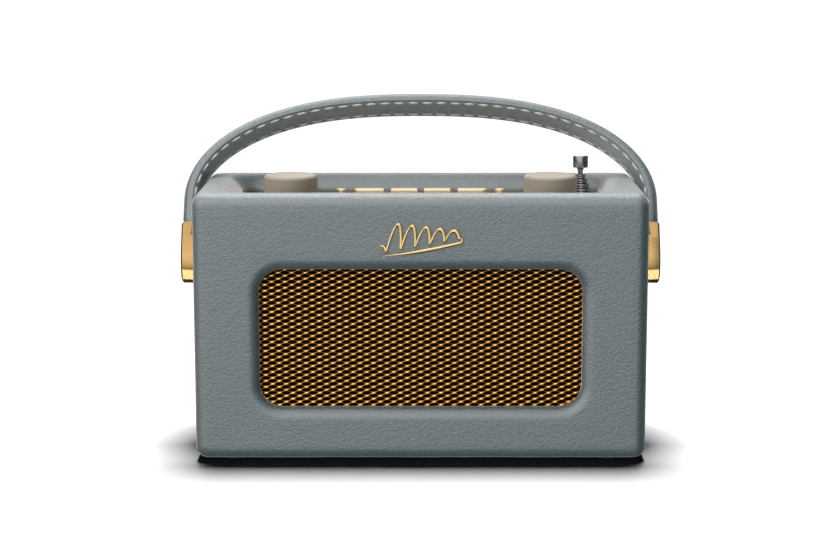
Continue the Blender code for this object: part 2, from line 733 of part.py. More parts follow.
def swept(name, outline, look):
    """The outline, as (across, out) pairs, carried round the arch and necked inside the fittings."""
    rings = []
    for x, r, nx, nr in arch():
        share = min(max((r - FITTING_TOP - GAP) / NECK_LENGTH, 0.0), 1.0)
        thick = NECK_THICK + (1 - NECK_THICK) * share
        wide = NECK_WIDTH + (1 - NECK_WIDTH) * share
        rings.append([Vector((x + nx * t * thick, s * wide, r + nr * t * thick)) for s, t in outline])
    return loft(name, rings, look, smooth=True)


def fitting_outline(grow=0.0, steps=10):
    """The side view of an end fitting: straight sides, with half an ellipse below."""
    points = [(FITTING_HALF + grow, FITTING_TOP + grow), (-FITTING_HALF - grow, FITTING_TOP + grow)]
    drop = FITTING_SHOULDER - FITTING_LOW + grow
    for i in range(steps + 1):
        a = math.pi + math.pi * i / steps
        points.append(((FITTING_HALF + grow) * math.cos(a), FITTING_SHOULDER + drop * math.sin(a)))
    return points


def fitting(name, side, pivot):
    """A brass clasp: a pocket above for the strap's end, and a bore below for its pivot screw."""
    outline = fitting_outline()
    middle = (0, (FITTING_TOP + FITTING_LOW) / 2)
    rings = []
    for shrink, x in ((0.0, FITTING_INNER), *FITTING_DOME):
        ring = [(u + (middle[0] - u) * shrink, v + (middle[1] - v) * shrink) for u, v in outline]
        rings.append(across_x(ring, side * x, (0, 0)))
    body = loft(name, rings, "brass", smooth=True)
    pocket_low = ARCH_HALF - GAP
    pocket_high = ARCH_HALF + STRAP_THICK * NECK_THICK + GAP
    half = STRAP_WIDTH / 2 * NECK_WIDTH + GAP
    edges = sorted((side * pocket_low, side * pocket_high))
    pocket_from = (edges[0], -half, STRAP_END - GAP)
    pocket = block("cut_pocket_" + name, pocket_from, (edges[1], half, FITTING_TOP + BEYOND), "wood")
    near, far = side * (FITTING_INNER - BEYOND), side * (FITTING_OUTER + BEYOND)
    bore = rod("cut_bore_" + name, PIN_R + PIN_CLEAR, near, far, (0, 0), across_x, "wood")
    seat_x = side * (PIN_HEAD_X - GAP)
    seat = rod("cut_seat_" + name, PIN_HEAD_R + GAP, seat_x, far, (0, 0), across_x, "wood")
    cut(body, pocket, bore, seat)
    for made in (body, pocket, bore, seat):
        made.parent = pivot


def handle():
    """Strap, lining, core and fittings stand upright about the pivot, and the empty leans them back."""
    pivot = bpy.data.objects.new("handle_pivot", None)
    pivot.location = (0, PIVOT_Y, PIVOT_Z)
    pivot.rotation_euler = (-LEAN, 0, 0)
    bpy.context.scene.collection.objects.link(pivot)
    edge = STRAP_WIDTH / 2 - GAP
    low = LINING_THICK + GAP
    groove = CORE_HALF + GAP
    roof = low + CORE_THICK + GAP
    under = [(-edge, low), (-groove, low), (-groove, roof), (groove, roof), (groove, low), (edge, low)]
    pieces = [swept("handle_strap", under + crown(), "leather")]
    for name, half, bottom, top, look in (
        ("handle_core", CORE_HALF, low, low + CORE_THICK, "steel"),
        ("handle_lining", edge, 0.0, LINING_THICK, "leather"),
    ):
        pieces.append(swept(name, [(-half, bottom), (half, bottom), (half, top), (-half, top)], look))
    for piece in pieces:
        piece.parent = pivot
    for name, side in SIDES:
        fitting("handle_fitting_" + name, side, pivot)


def handle_pins():
    """In each side: a threaded bush in the wood, a spacing washer and the screw the handle turns on."""
    centre = (PIVOT_Y, PIVOT_Z)
    bore = PIN_R + GAP
    for name, side in SIDES:
        ends = [side * x for x in BUSH_ENDS]
        tube("handle_bush_" + name, BUSH_R, bore, *ends, centre, across_x, "brass")
        ends = [side * (HALF_WIDTH + GAP), side * (FITTING_INNER - GAP)]
        tube("handle_washer_" + name, WASHER_R, bore, *ends, centre, across_x, "brass")
        profile = (
            (PIN_R, side * PIN_END), (PIN_R, side * PIN_HEAD_X), (PIN_HEAD_R, side * PIN_HEAD_X),
            (PIN_HEAD_R, side * PIN_HEAD_EDGE), (PIN_HEAD_R - PIN_EASE, side * PIN_HEAD_OUTER),
        )
        screw = turned("handle_screw_" + name, profile, centre, across_x, "brass")
        ends = sorted((side * PIN_SLOT_X, side * (PIN_HEAD_OUTER + BEYOND)))
        low = (ends[0], PIVOT_Y - BEYOND, PIVOT_Z - PIN_SLOT_HALF)
        high = (ends[1], PIVOT_Y + BEYOND, PIVOT_Z + PIN_SLOT_HALF)
        cut(screw, block("cut_slot_" + name, low, high, "wood"))


def back():
    """The screwed back panel, with holes for the battery door, its pins and two sockets."""
    sheet = rebate_prism("back_panel", -GAP, PANEL_BACK - BACK_THICK, PANEL_BACK, "leather")
    front, end = PANEL_BACK - 2 * BACK_THICK, PANEL_BACK + BEYOND
    door_low = (-DOOR_HALF_X - GAP, y_at(front), DOOR_LOW - DOOR_THICK / 2 - BUTTON_EASE)
    door_high = (DOOR_HALF_X + GAP, y_at(end), DOOR_HIGH + BUTTON_EASE)
    opening = block("cut_door", door_low, door_high, "wood")
    axis = (y_at(PANEL_BACK - DOOR_THICK / 2 - GAP), DOOR_LOW)
    reach = DOOR_HALF_X + DOOR_PIN_LONG + GAP
    pins = rod("cut_door_pins", DOOR_PIN_R + GAP, -reach, reach, axis, across_x, "wood", 12)
    cut(sheet, opening, pins)
    head = SCREW_HEAD_R
    profile = (
        (SCREW_R, SCREW_END), (SCREW_R, SCREW_SEAT), (head, SCREW_SEAT), (head, SCREW_EDGE),
        (head - PIN_EASE, SCREW_TOP),
    )
    placed = [(r, y_at(depth)) for r, depth in profile]
    span = (y_at(front), y_at(end))
    for i, x, z in screw_places():
        cut(sheet, rod("cut_back_screw_%d" % i, SCREW_R + GAP, *span, (x, z), across_y, "wood", 12))
        turned("back_screw_%d" % i, placed, (x, z), across_y, "brass", steps=12)
    return sheet


def door():
    """The battery door swings down on two pins moulded in one with it."""
    y_out = y_at(PANEL_BACK - GAP)
    axis = (y_out - DOOR_THICK / 2, DOOR_LOW)
    low = (-DOOR_HALF_X, y_out - DOOR_THICK, DOOR_LOW)
    leaf = block("battery_door", low, (DOOR_HALF_X, y_out, DOOR_HIGH), "black_plastic")
    reach = DOOR_HALF_X + DOOR_PIN_LONG
    barrel = rod("add_door_barrel", DOOR_THICK / 2, -DOOR_HALF_X, DOOR_HALF_X, axis, across_x, "wood", 12)
    pins = rod("add_door_pins", DOOR_PIN_R, -reach, reach, axis, across_x, "wood", 12)
    near = (-NOTCH_HALF, y_out - NOTCH_DEEP, DOOR_HIGH - NOTCH_TALL)
    notch = block("cut_door_notch", near, (NOTCH_HALF, y_out + BEYOND, DOOR_HIGH + BEYOND), "wood")
    join(leaf, barrel, pins)
    cut(leaf, notch)


def battery():
    tray_back = PANEL_BACK - BACK_THICK - GAP
    low = (-TRAY_HALF_X, y_at(TRAY_FRONT), TRAY_LOW)
    tray = block("battery_tray", low, (TRAY_HALF_X, y_at(tray_back), TRAY_HIGH), "black_plastic")
    inner_low = (-TRAY_HALF_X + TRAY_WALL, y_at(TRAY_FRONT + TRAY_WALL), TRAY_LOW + TRAY_WALL)
    inner_high = (TRAY_HALF_X - TRAY_WALL, y_at(tray_back + BEYOND), TRAY_HIGH - TRAY_WALL)
    cut(tray, block("cut_tray", inner_low, inner_high, "wood"))
    low, high = [(s * PACK_HALF_X, y_at(d), z) for s, d, z in zip((-1, 1), PACK_DEPTHS, PACK_HEIGHTS)]
    block("battery_pack", low, high, "steel", PACK_ROUND, 3)
    ends = (TRAY_HIGH - TRAY_WALL / 2, MAIN_BOARD_Z - GAP)
    for i, (x, depth) in enumerate(POSTS, 1):
        join(tray, rod("add_post_%d" % i, POST_R, *ends, (x, y_at(depth)), across_z, "wood", 12))


def boards_and_sockets(back_panel):
    top = MAIN_BOARD_Z + BOARD_THICK
    front, end = [y_at(depth) for depth in MAIN_BOARD_DEPTHS]
    block("main_board", (-MAIN_BOARD_HALF_X, front, MAIN_BOARD_Z), (MAIN_BOARD_HALF_X, end, top), "board")
    floor = top + GAP
    face = PANEL_BACK - GAP
    for name, x, half, tall, bore_r in SOCKETS:
        low = (x - half, y_at(SOCKET_FRONT), floor)
        body = block(name, low, (x + half, y_at(face), floor + tall), "black_plastic")
        centre = (x, floor + tall / 2)
        bore = (y_at(SOCKET_FRONT + 2 * TRAY_WALL), y_at(face + BEYOND))
        cut(body, rod("cut_bore_" + name, bore_r, *bore, centre, across_y, "wood", 16))
        hole_low = (x - half - GAP, y_at(SOCKET_FRONT), floor - GAP)
        hole_high = (x + half + GAP, y_at(face + BEYOND), floor + tall + GAP)
        cut(back_panel, block("cut_hole_" + name, hole_low, hole_high, "wood"))


def feet():
    places = [(x, d) for d in FEET_DEPTH for x in (-FEET_X, FEET_X)]
    for i, (x, depth) in enumerate(places, 1):
        profile = ((FOOT_R - 0.0004, 0.0), (FOOT_R, 0.0004), (FOOT_R, FOOT_HEIGHT))
        turned("foot_%d" % i, profile, (x, y_at(depth)), across_z, "rubber")


def main():
    for old in list(bpy.data.objects):
        bpy.data.objects.remove(old, do_unlink=True)
    leather_cover()
    cabinet()
    grille()
    speaker()
    badge()
    panel(buttons())
    control_board()
    encoders()
    aerial()
    handle()
    handle_pins()
    back_panel = back()
    door()
    battery()
    boards_and_sockets(back_panel)
    feet()


main()
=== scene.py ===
"""The looks of the leather portable radio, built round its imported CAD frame.

Metres, +Z up, front facing -Y. Every piece is modelled in place, so its object sits at the origin.
Places come from the CAD nodes' boxes. The sizes below repeat those of the part.
"""

import json
import math

import bmesh
import bpy
from mathutils import Euler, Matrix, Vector, noise

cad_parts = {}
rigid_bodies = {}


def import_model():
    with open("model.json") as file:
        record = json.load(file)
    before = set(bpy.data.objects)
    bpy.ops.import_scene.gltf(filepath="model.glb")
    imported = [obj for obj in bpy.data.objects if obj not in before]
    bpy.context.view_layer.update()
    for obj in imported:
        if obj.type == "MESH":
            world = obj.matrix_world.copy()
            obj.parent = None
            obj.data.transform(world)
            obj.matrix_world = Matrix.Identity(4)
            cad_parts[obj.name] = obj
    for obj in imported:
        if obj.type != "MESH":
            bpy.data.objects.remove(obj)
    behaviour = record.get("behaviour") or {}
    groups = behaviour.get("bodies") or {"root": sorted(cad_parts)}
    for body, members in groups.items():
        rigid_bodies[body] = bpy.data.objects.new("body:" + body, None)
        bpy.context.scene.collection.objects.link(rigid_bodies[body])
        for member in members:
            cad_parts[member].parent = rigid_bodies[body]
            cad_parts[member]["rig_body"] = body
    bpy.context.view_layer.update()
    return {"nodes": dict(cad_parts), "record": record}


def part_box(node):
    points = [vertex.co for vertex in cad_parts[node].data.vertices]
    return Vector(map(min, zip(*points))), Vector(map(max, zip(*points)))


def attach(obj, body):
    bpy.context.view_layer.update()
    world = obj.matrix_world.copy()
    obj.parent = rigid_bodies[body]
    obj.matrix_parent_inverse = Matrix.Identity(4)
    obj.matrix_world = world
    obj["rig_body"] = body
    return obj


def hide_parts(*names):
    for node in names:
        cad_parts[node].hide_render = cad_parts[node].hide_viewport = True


MM = 0.001

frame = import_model()


def middle(node):
    low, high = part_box(node)
    return (low + high) / 2


COVER_LOW, COVER_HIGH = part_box("leather_cover")
FRONT, BACK = COVER_LOW.y, COVER_HIGH.y
TOP, BOTTOM = COVER_HIGH.z, COVER_LOW.z
HALF_X, HALF_Z = COVER_HIGH.x, (TOP - BOTTOM) / 2
MID_Y, MID_Z = (FRONT + BACK) / 2, (TOP + BOTTOM) / 2
GAP = 0.3 * MM

# Cabinet
EDGE = 5.5 * MM
SKIN = 1.2 * MM
FACE_CORNER = 1.4 * MM
STRAIGHT = (BACK - FRONT) / 2 - EDGE
UNEVEN = 0.05 * MM
WINDOW = (74.7 * MM, 32.5 * MM, 10.8 * MM)
WINDOW_Z = middle("grille_mesh").z
ROLL_WIDE, ROLL_DEEP, ROLL_END = 5.4 * MM, 4.2 * MM, 5.9 * MM
RECESS = (87.0 * MM, 28.0 * MM, 9.3 * MM)
LIP_WIDE, LIP_DEEP = 7.4 * MM, 6.0 * MM
PANEL_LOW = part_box("control_panel")[0].z
REBATE = (98.0 * MM, 55.0 * MM, 5.0 * MM)
REAR_TURN = 0.8 * MM

# Pitch of the expanded mesh, along and across its diamonds
MESH_LONG, MESH_SHORT = 6.27 * MM, 2.85 * MM

# Handle, in the plane through its pivots
PIVOT = middle("handle_washer_left")
LEAN = math.radians(28.6)
ARCH_HALF, ARCH_FOOT, ARCH_RISE = 109.2 * MM, 31.5 * MM, 50.4 * MM
ARCH_POWERS = (2.48, 2.02)
STRAP_HALF, STRAP_THICK = 10.0 * MM, 5.3 * MM
STRAP_END, CLASP_TOP, CLASP_LOW = 12.0 * MM, 18.7 * MM, -8.6 * MM
NECK_THICK, NECK_WIDE, NECK_LONG = 0.82, 0.94, 3.0 * MM
LINING_THICK = 1.25 * MM
STITCH_OFFSET, STITCH_PITCH, STITCH_LONG = 6.6 * MM, 6.9 * MM, 5.724 * MM
THREAD = 0.62 * MM

PEBBLES = 820  # grains of leather to a metre

# Materials ---------------------------------------------------------------------------------------


class Nodes:
    """Short calls that add shader nodes to a tree and link them."""

    def __init__(self, tree):
        self.tree = tree

    def node(self, kind, settings=(), **inputs):
        made = self.tree.nodes.new("ShaderNode" + kind)
        for name, value in dict(settings).items():
            setattr(made, name, value)
        for name, value in inputs.items():
            self.set(made.inputs[name.replace("_", " ")], value)
        return made

    def set(self, socket, value):
        if isinstance(value, bpy.types.NodeSocket):
            self.tree.links.new(value, socket)
        else:
            socket.default_value = value

    def ramp(self, source, *stops):
        """A colour ramp through stops of (place, colour or grey level)."""
        made = self.node("ValToRGB", Fac=source)
        points = made.color_ramp.elements
        while len(points) < len(stops):
            points.new(0.5)
        for point, (where, value) in zip(points, stops):
            point.position = where
            point.color = (*value, 1.0) if isinstance(value, tuple) else (value, value, value, 1.0)
        return made.outputs["Color"]

    def span(self, source, start, end, low, high):
        """Takes start to end of a value to low to high."""
        made = self.node("MapRange", Value=source, From_Min=start, From_Max=end, To_Min=low, To_Max=high)
        return made.outputs[0]

    def math(self, operation, first, second):
        made = self.node("Math", {"operation": operation})
        self.set(made.inputs[0], first)
        self.set(made.inputs[1], second)
        return made.outputs[0]

    def blend(self, factor, first, second, mode="MIX"):
        made = self.node("Mix", {"data_type": "RGBA", "blend_type": mode})
        for index, value in ((0, factor), (6, first), (7, second)):
            self.set(made.inputs[index], (*value, 1.0) if isinstance(value, tuple) else value)
        return made.outputs[2]


class Look(Nodes):
    """A Principled material whose textures are laid out in the object's own metres."""

    def __init__(self, name, colour, roughness, metallic=0.0, **sockets):
        self.material = bpy.data.materials.new(name)
        self.material.use_nodes = True
        super().__init__(self.material.node_tree)
        self.shader = self.tree.nodes["Principled BSDF"]
        self.shader.inputs["Base Color"].default_value = (*colour, 1.0)
        self.shader.inputs["Roughness"].default_value = roughness
        self.shader.inputs["Metallic"].default_value = metallic
        for socket, value in sockets.items():
            self.shader.inputs[socket.replace("_", " ")].default_value = value
        self.place = self.node("TexCoord").outputs["Object"]
        self.relief = None

    def vector(self, operation, first, second):
        made = self.node("VectorMath", {"operation": operation})
        self.set(made.inputs[0], first)
        self.set(made.inputs["Scale" if operation == "SCALE" else 1], second)
        return made.outputs[0]

    def mapped(self, scale=(1, 1, 1), turn=(0, 0, 0), wobble=None, drawn=None):
        """The place wobbled by (noise scale, distance), then scaled and turned, then drawn out."""
        source = self.place
        if wobble:
            shift = self.vector("SUBTRACT", self.noise(wobble[0], colour=True), (0.5, 0.5, 0.5))
            source = self.vector("ADD", source, self.vector("SCALE", shift, wobble[1]))
        source = self.node("Mapping", Vector=source, Scale=scale, Rotation=turn).outputs[0]
        return self.node("Mapping", Vector=source, Scale=drawn).outputs[0] if drawn else source

    def noise(self, scale, detail=2.0, place=None, colour=False):
        made = self.node("TexNoise", Vector=place or self.place, Scale=scale, Detail=detail)
        return made.outputs["Color" if colour else "Fac"]

    def cells(self, scale, place=None, feature="F1"):
        made = self.node("TexVoronoi", {"feature": feature}, Vector=place or self.place, Scale=scale)
        return made.outputs["Distance"]

    def colour(self, source):
        self.set(self.shader.inputs["Base Color"], source)

    def rough(self, source, low, high):
        self.set(self.shader.inputs["Roughness"], self.span(source, 0.0, 1.0, low, high))

    def bump(self, height, distance, strength=1.0):
        made = self.node("Bump", Height=height, Distance=distance, Strength=strength)
        if self.relief:
            self.set(made.inputs["Normal"], self.relief)
        self.relief = made.outputs["Normal"]
        self.set(self.shader.inputs["Normal"], self.relief)


def leather(name, depth, deep, light):
    """Pebbled leather: soft cells drawn out along a slant, with finer pores in them."""
    gloss = {"Specular_IOR_Level": 0.9, "IOR": 2.1, "Sheen_Weight": 0.45, "Sheen_Roughness": 0.4}
    look = Look(name, light, 0.5, **gloss)
    slant = look.mapped(turn=(0, math.radians(30), 0), wobble=(400, 0.3 * MM), drawn=(0.9, 1.0, 1.15))
    pebble = look.ramp(look.cells(PEBBLES, slant), (0.1, 1.0), (0.8, 0.0))
    pores = look.noise(PEBBLES * 3.2, 3.0)
    broad = look.noise(26, 3.0)
    # Each pebble is darker in its creases and lighter on its top. This is partly the grain's own colour,
    # partly painted shade in the creases and a painted highlight on the tops.
    grain_tone_and_crease_shade = look.ramp(pebble, (0.0, deep), (0.7, light))
    wear = look.ramp(broad, (0.3, (0.93, 0.95, 0.96)), (0.7, (1.05, 1.03, 1.02)))
    look.colour(look.blend(1.0, grain_tone_and_crease_shade, wear, "MULTIPLY"))
    patchy = look.math("ADD", look.math("MULTIPLY", pores, 0.4), look.math("MULTIPLY", broad, 0.6))
    look.rough(patchy, 0.42, 0.54)
    look.bump(pebble, depth)
    look.bump(pores, depth * 0.22)
    look.bump(broad, 0.15 * MM, 0.5)
    return look.material


def polished(name, colour, roughness, tarnish, coat=0.0):
    """Buffed metal under lacquer, with hair-fine scratches and a breath of tarnish."""
    look = Look(name, colour, roughness, 1.0, Coat_Weight=coat, Coat_Roughness=0.06)
    haze = look.noise(140, 4.0)
    look.colour(look.ramp(haze, (0.3, tuple(c * tarnish for c in colour)), (0.62, colour)))
    hair = look.noise(1500, 2.0, look.mapped((1.0, 0.12, 0.12), (0.3, 0.5, 0.2)))
    look.rough(look.math("MULTIPLY", hair, haze), roughness * 0.7, roughness * 1.9)
    look.bump(hair, 0.01 * MM, 0.5)
    return look.material


def expanded_brass():
    """Brass mesh with painted highlights on its bonds and on one run of strands, and dark painted shade on
    the other run.
    """
    look = Look("grille_brass", (0.6, 0.25, 0.03), 0.22, 1.0)
    split = look.node("SeparateXYZ", Vector=look.place)
    waves = []
    for axis, pitch, start in (("X", MESH_LONG, 0.0), ("Z", MESH_SHORT, WINDOW_Z + MESH_SHORT / 4)):
        turn = look.math("MULTIPLY", look.math("SUBTRACT", split.outputs[axis], start), 2 * math.pi / pitch)
        waves.append((look.math("COSINE", turn, 0.0), look.math("SINE", turn, 0.0)))
    # The bonds get a painted highlight. Strands rising to the right are painted lit, and those falling are
    # painted in shade.
    bonds = look.math("MULTIPLY", waves[0][0], waves[1][0])
    painted_run_light = look.math("MULTIPLY", waves[0][1], waves[1][1])
    painted_light_level = look.math("ADD", look.math("MULTIPLY", bonds, 0.36), look.math("MULTIPLY", painted_run_light, 0.12))
    painted_light_level = look.math("ADD", painted_light_level, 0.5)
    # Painted shade, the lit strands' two colours, and the painted glint on the bonds.
    shade_brown, lit_bronze = (0.065, 0.024, 0.003), (0.25, 0.092, 0.009)
    lit_amber, glint_gold = (0.54, 0.245, 0.033), (1.0, 0.74, 0.38)
    painted_glints_and_shade = look.ramp(painted_light_level, (0.38, shade_brown), (0.62, lit_bronze), (0.76, lit_amber), (0.84, glint_gold))
    haze = look.ramp(look.noise(300, 3.0), (0.3, 0.85), (0.7, 1.1))
    look.colour(look.blend(1.0, painted_glints_and_shade, haze, "MULTIPLY"))
    look.rough(haze, 0.30, 0.20)
    return look.material


def brushed(name, colour, roughness, along):
    """Metal grained one way."""
    look = Look(name, colour, roughness, 1.0)
    lines = look.noise(4200, 3.0, look.mapped(along))
    look.colour(look.ramp(lines, (0.3, tuple(c * 0.86 for c in colour)), (0.7, colour)))
    look.rough(lines, roughness * 0.8, roughness * 1.3)
    look.bump(lines, 0.012 * MM, 0.6)
    return look.material


def moulded(name, colour, roughness, grain, depth, spread=0.9, metallic=0.0):
    """Moulded or painted surface with the fine texture of its tool."""
    look = Look(name, colour, roughness, metallic)
    skin = look.noise(grain, 3.0)
    cloud = look.noise(55, 3.0)
    look.colour(look.ramp(cloud, (0.35, tuple(c * spread for c in colour)), (0.65, colour)))
    look.rough(skin, roughness * 0.85, roughness * 1.2)
    look.bump(skin, depth)
    return look.material


def plywood():
    """Bare board with drawn-out rings and fibres."""
    look = Look("wood", (0.5, 0.36, 0.2), 0.6)
    wave = look.node("TexWave", Vector=look.mapped((1, 4, 4)), Scale=28, Distortion=6, Detail=3)
    rings = wave.outputs["Fac"]
    fibre = look.noise(700, 3.0, look.mapped((0.06, 1, 1)))
    grain = look.math("MULTIPLY", rings, fibre)
    look.colour(look.ramp(grain, (0.1, (0.32, 0.20, 0.10)), (0.6, (0.56, 0.41, 0.25))))
    look.rough(fibre, 0.5, 0.75)
    look.bump(grain, 0.06 * MM)
    return look.material


def woven(name, colour, pitch):
    """Plain cloth: warp over weft."""
    look = Look(name, colour, 0.9, Specular_IOR_Level=0.1)
    threads = []
    for direction in ("X", "Z"):
        wave = look.node("TexWave", {"bands_direction": direction}, Vector=look.place, Scale=0.314 / pitch)
        threads.append(wave.outputs["Fac"])
    cloth = look.math("MULTIPLY", *threads)
    look.colour(look.ramp(cloth, (0.0, tuple(c * 0.3 for c in colour)), (0.6, colour)))
    look.rough(cloth, 0.95, 0.75)
    look.bump(cloth, 0.1 * MM)
    return look.material


def circuit():
    """Green solder mask over tracks and tinned pads."""
    look = Look("board", (0.01, 0.09, 0.04), 0.35)
    tracks = look.ramp(look.cells(260, feature="DISTANCE_TO_EDGE"), (0.02, 1.0), (0.05, 0.0))
    pads = look.ramp(look.cells(420), (0.12, 1.0), (0.16, 0.0))
    mask = look.blend(tracks, (0.008, 0.075, 0.032), (0.02, 0.16, 0.07))
    look.colour(look.blend(pads, mask, (0.55, 0.52, 0.46)))
    look.rough(tracks, 0.45, 0.3)
    look.bump(look.math("ADD", tracks, pads), 0.03 * MM)
    return look.material


def thread():
    """Twisted waxed thread."""
    look = Look("thread", (0.58, 0.63, 0.65), 0.6, Sheen_Weight=0.4)
    wave = look.node("TexWave", {"bands_direction": "DIAGONAL"}, Vector=look.place, Scale=700, Distortion=2)
    twist = wave.outputs["Fac"]
    look.colour(look.ramp(twist, (0.1, (0.50, 0.54, 0.56)), (0.7, (0.80, 0.83, 0.84))))
    look.rough(twist, 0.75, 0.5)
    look.bump(twist, 0.08 * MM)
    return look.material


def display_glass():
    """Dark glass with a faint smear."""
    look = Look("glass", (0.012, 0.013, 0.016), 0.06, Coat_Weight=0.6, Coat_Roughness=0.03)
    smear = look.noise(60, 3.0)
    look.colour(look.ramp(smear, (0.3, (0.008, 0.009, 0.012)), (0.7, (0.018, 0.020, 0.026))))
    look.rough(smear, 0.04, 0.12)
    look.bump(smear, 0.02 * MM, 0.3)
    return look.material


LOOKS = {
    "leather": leather("leather", 0.075 * MM, (0.034, 0.062, 0.070), (0.052, 0.083, 0.091)),
    # The strap's cover and lining are the body's leather painted lighter, the lining most: painted light
    # that the lamps don't bring to them.
    "lit_strap_leather": leather("lit_strap_leather", 0.12 * MM, (0.090, 0.116, 0.124), (0.125, 0.156, 0.164)),
    "lit_lining_leather": leather("lit_lining_leather", 0.12 * MM, (0.19, 0.22, 0.23), (0.25, 0.285, 0.295)),
    "wood": plywood(),
    "brass": polished("brass", (0.52, 0.32, 0.12), 0.13, 0.9, 0.2),
    "gilt": polished("gilt", (0.95, 0.68, 0.28), 0.20, 0.9, 0.4),
    "gilt": polished("gilt", (0.95, 0.68, 0.28), 0.20, 0.9, 0.4),
    "grille_brass": expanded_brass(),
    "panel_brass": brushed("panel_brass", (0.80, 0.62, 0.36), 0.30, (0.03, 1, 1)),
    "cream": moulded("cream", (0.41, 0.36, 0.30), 0.42, 2600, 0.012 * MM, 0.96),
    "champagne": moulded("champagne", (0.86, 0.68, 0.42), 0.32, 3000, 0.006 * MM, 0.95, 0.9),
    "chrome": polished("chrome", (0.34, 0.34, 0.35), 0.08, 0.96),
    "steel": brushed("steel", (0.46, 0.46, 0.48), 0.35, (1, 0.05, 1)),
    "black_plastic": moulded("black_plastic", (0.020, 0.020, 0.022), 0.48, 2200, 0.05 * MM, 0.8),
    "cloth": woven("cloth", (0.007, 0.006, 0.006), 0.7 * MM),
    "paper": moulded("paper", (0.035, 0.034, 0.033), 0.85, 900, 0.15 * MM, 0.6),
    "board": circuit(),
    "rubber": moulded("rubber", (0.022, 0.022, 0.023), 0.80, 1500, 0.05 * MM, 0.7),
    "glass": display_glass(),
    "thread": thread(),
}

# Mesh helpers ------------------------------------------------------------------------------------


def as_object(name, bm):
    mesh = bpy.data.meshes.new(name)
    bm.to_mesh(mesh)
    bm.free()
    made = bpy.data.objects.new(name, mesh)
    bpy.context.scene.collection.objects.link(made)
    return made


def finish_mesh(name, bm, body, slot, look=None, replaced=(), sharp=40):
    """Turns the mesh into a piece that rides on a body and stands for CAD nodes."""
    piece = as_object(name, bm)
    piece.data.materials.append(LOOKS[look or slot])
    piece.data.shade_smooth()
    piece.data.set_sharp_from_angle(angle=math.radians(sharp))
    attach(piece, body)
    if replaced:
        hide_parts(*replaced)
    return piece


def add_band(bm, first, second, start=0):
    """Faces between two rows of vertices that close on themselves, from this place in them on."""
    for i in range(start, len(first)):
        j = (i + 1) % len(first)
        bm.faces.new((first[i], first[j], second[j], second[i]))


def add_loft(bm, rings, closed=False):
    """Skins rings of equally many points, and caps the ends or joins them to each other."""
    rows = [[bm.verts.new(p) for p in ring] for ring in rings]
    for first, second in zip(rows, rows[1:]):
        add_band(bm, first, second)
    if closed:
        add_band(bm, rows[-1], rows[0])
    else:
        bm.faces.new(rows[0])
        bm.faces.new(rows[-1])


def outward(bm):
    bmesh.ops.recalc_face_normals(bm, faces=bm.faces)
    return bm


def across_x(u, v, along, centre):
    return Vector((along, centre.y + u, centre.z + v))


def across_y(u, v, along, centre):
    return Vector((centre.x + u, along, centre.z + v))


def across_z(u, v, along, centre):
    return Vector((centre.x + u, centre.y + v, along))


def turned(name, profile, centre, across, body, slot, replaced, steps=64, closed=False, sharp=40):
    """A turned piece from (radius, place along the axis) pairs."""
    angles = [2 * math.pi * i / steps for i in range(steps)]
    rings = [[across(r * math.cos(a), r * math.sin(a), t, centre) for a in angles] for r, t in profile]
    bm = bmesh.new()
    add_loft(bm, rings, closed)
    return finish_mesh(name, outward(bm), body, slot, None, replaced, sharp)


def quarter(count):
    """(1 - cos, 1 - sin) round a quarter turn."""
    turns = [math.pi / 2 * i / count for i in range(count + 1)]
    return [(1 - math.cos(a), 1 - math.sin(a)) for a in turns]


def arc(radius, top, out, steps):
    """A fillet in a profile: from the side (radius, top - out) round to (radius - out, top)."""
    return [(radius - out * away, top - out * below) for away, below in quarter(steps)]


def round_rect(half_u, half_v, radius, steps=8):
    points = []
    for k, (su, sv) in enumerate(((1, 1), (-1, 1), (-1, -1), (1, -1))):
        for i in range(steps + 1):
            a = math.pi / 2 * (k + i / steps)
            u = su * (half_u - radius) + radius * math.cos(a)
            v = sv * (half_v - radius) + radius * math.sin(a)
            points.append((u, v))
    return points


def carve(piece, *cutters):
    """Subtracts the cutter meshes for good, and removes them."""
    for cutter in cutters:
        step = piece.modifiers.new("cut", "BOOLEAN")
        step.object = cutter
        step.operation = "DIFFERENCE"
        step.solver = "EXACT"
    bpy.context.view_layer.update()
    evaluated = piece.evaluated_get(bpy.context.evaluated_depsgraph_get())
    mesh = bpy.data.meshes.new_from_object(evaluated)
    piece.modifiers.clear()
    old, piece.data = piece.data, mesh
    bpy.data.meshes.remove(old)
    for cutter in cutters:
        bpy.data.objects.remove(cutter)


def cutter(rings):
    bm = bmesh.new()
    add_loft(bm, rings)
    return as_object("cutter", outward(bm))


# Leather cover -----------------------------------------------------------------------------------


def stations(fine_from, fine, coarse):
    """Places from -1 to 1, closer together beyond fine_from."""
    ends = [fine_from + (1 - fine_from) * i / fine for i in range(fine + 1)]
    inner = [-fine_from + 2 * fine_from * i / coarse for i in range(1, coarse)]
    return [-e for e in reversed(ends)] + inner + ends


# The recess's round corners begin at the first and last of these shares of its width and depth
ACROSS = stations(0.893, 8, 36)
UPRIGHT = stations(0.8, 5, 22)
INWARD = stations(0.668, 8, 14)
CORNER_STEPS = 10


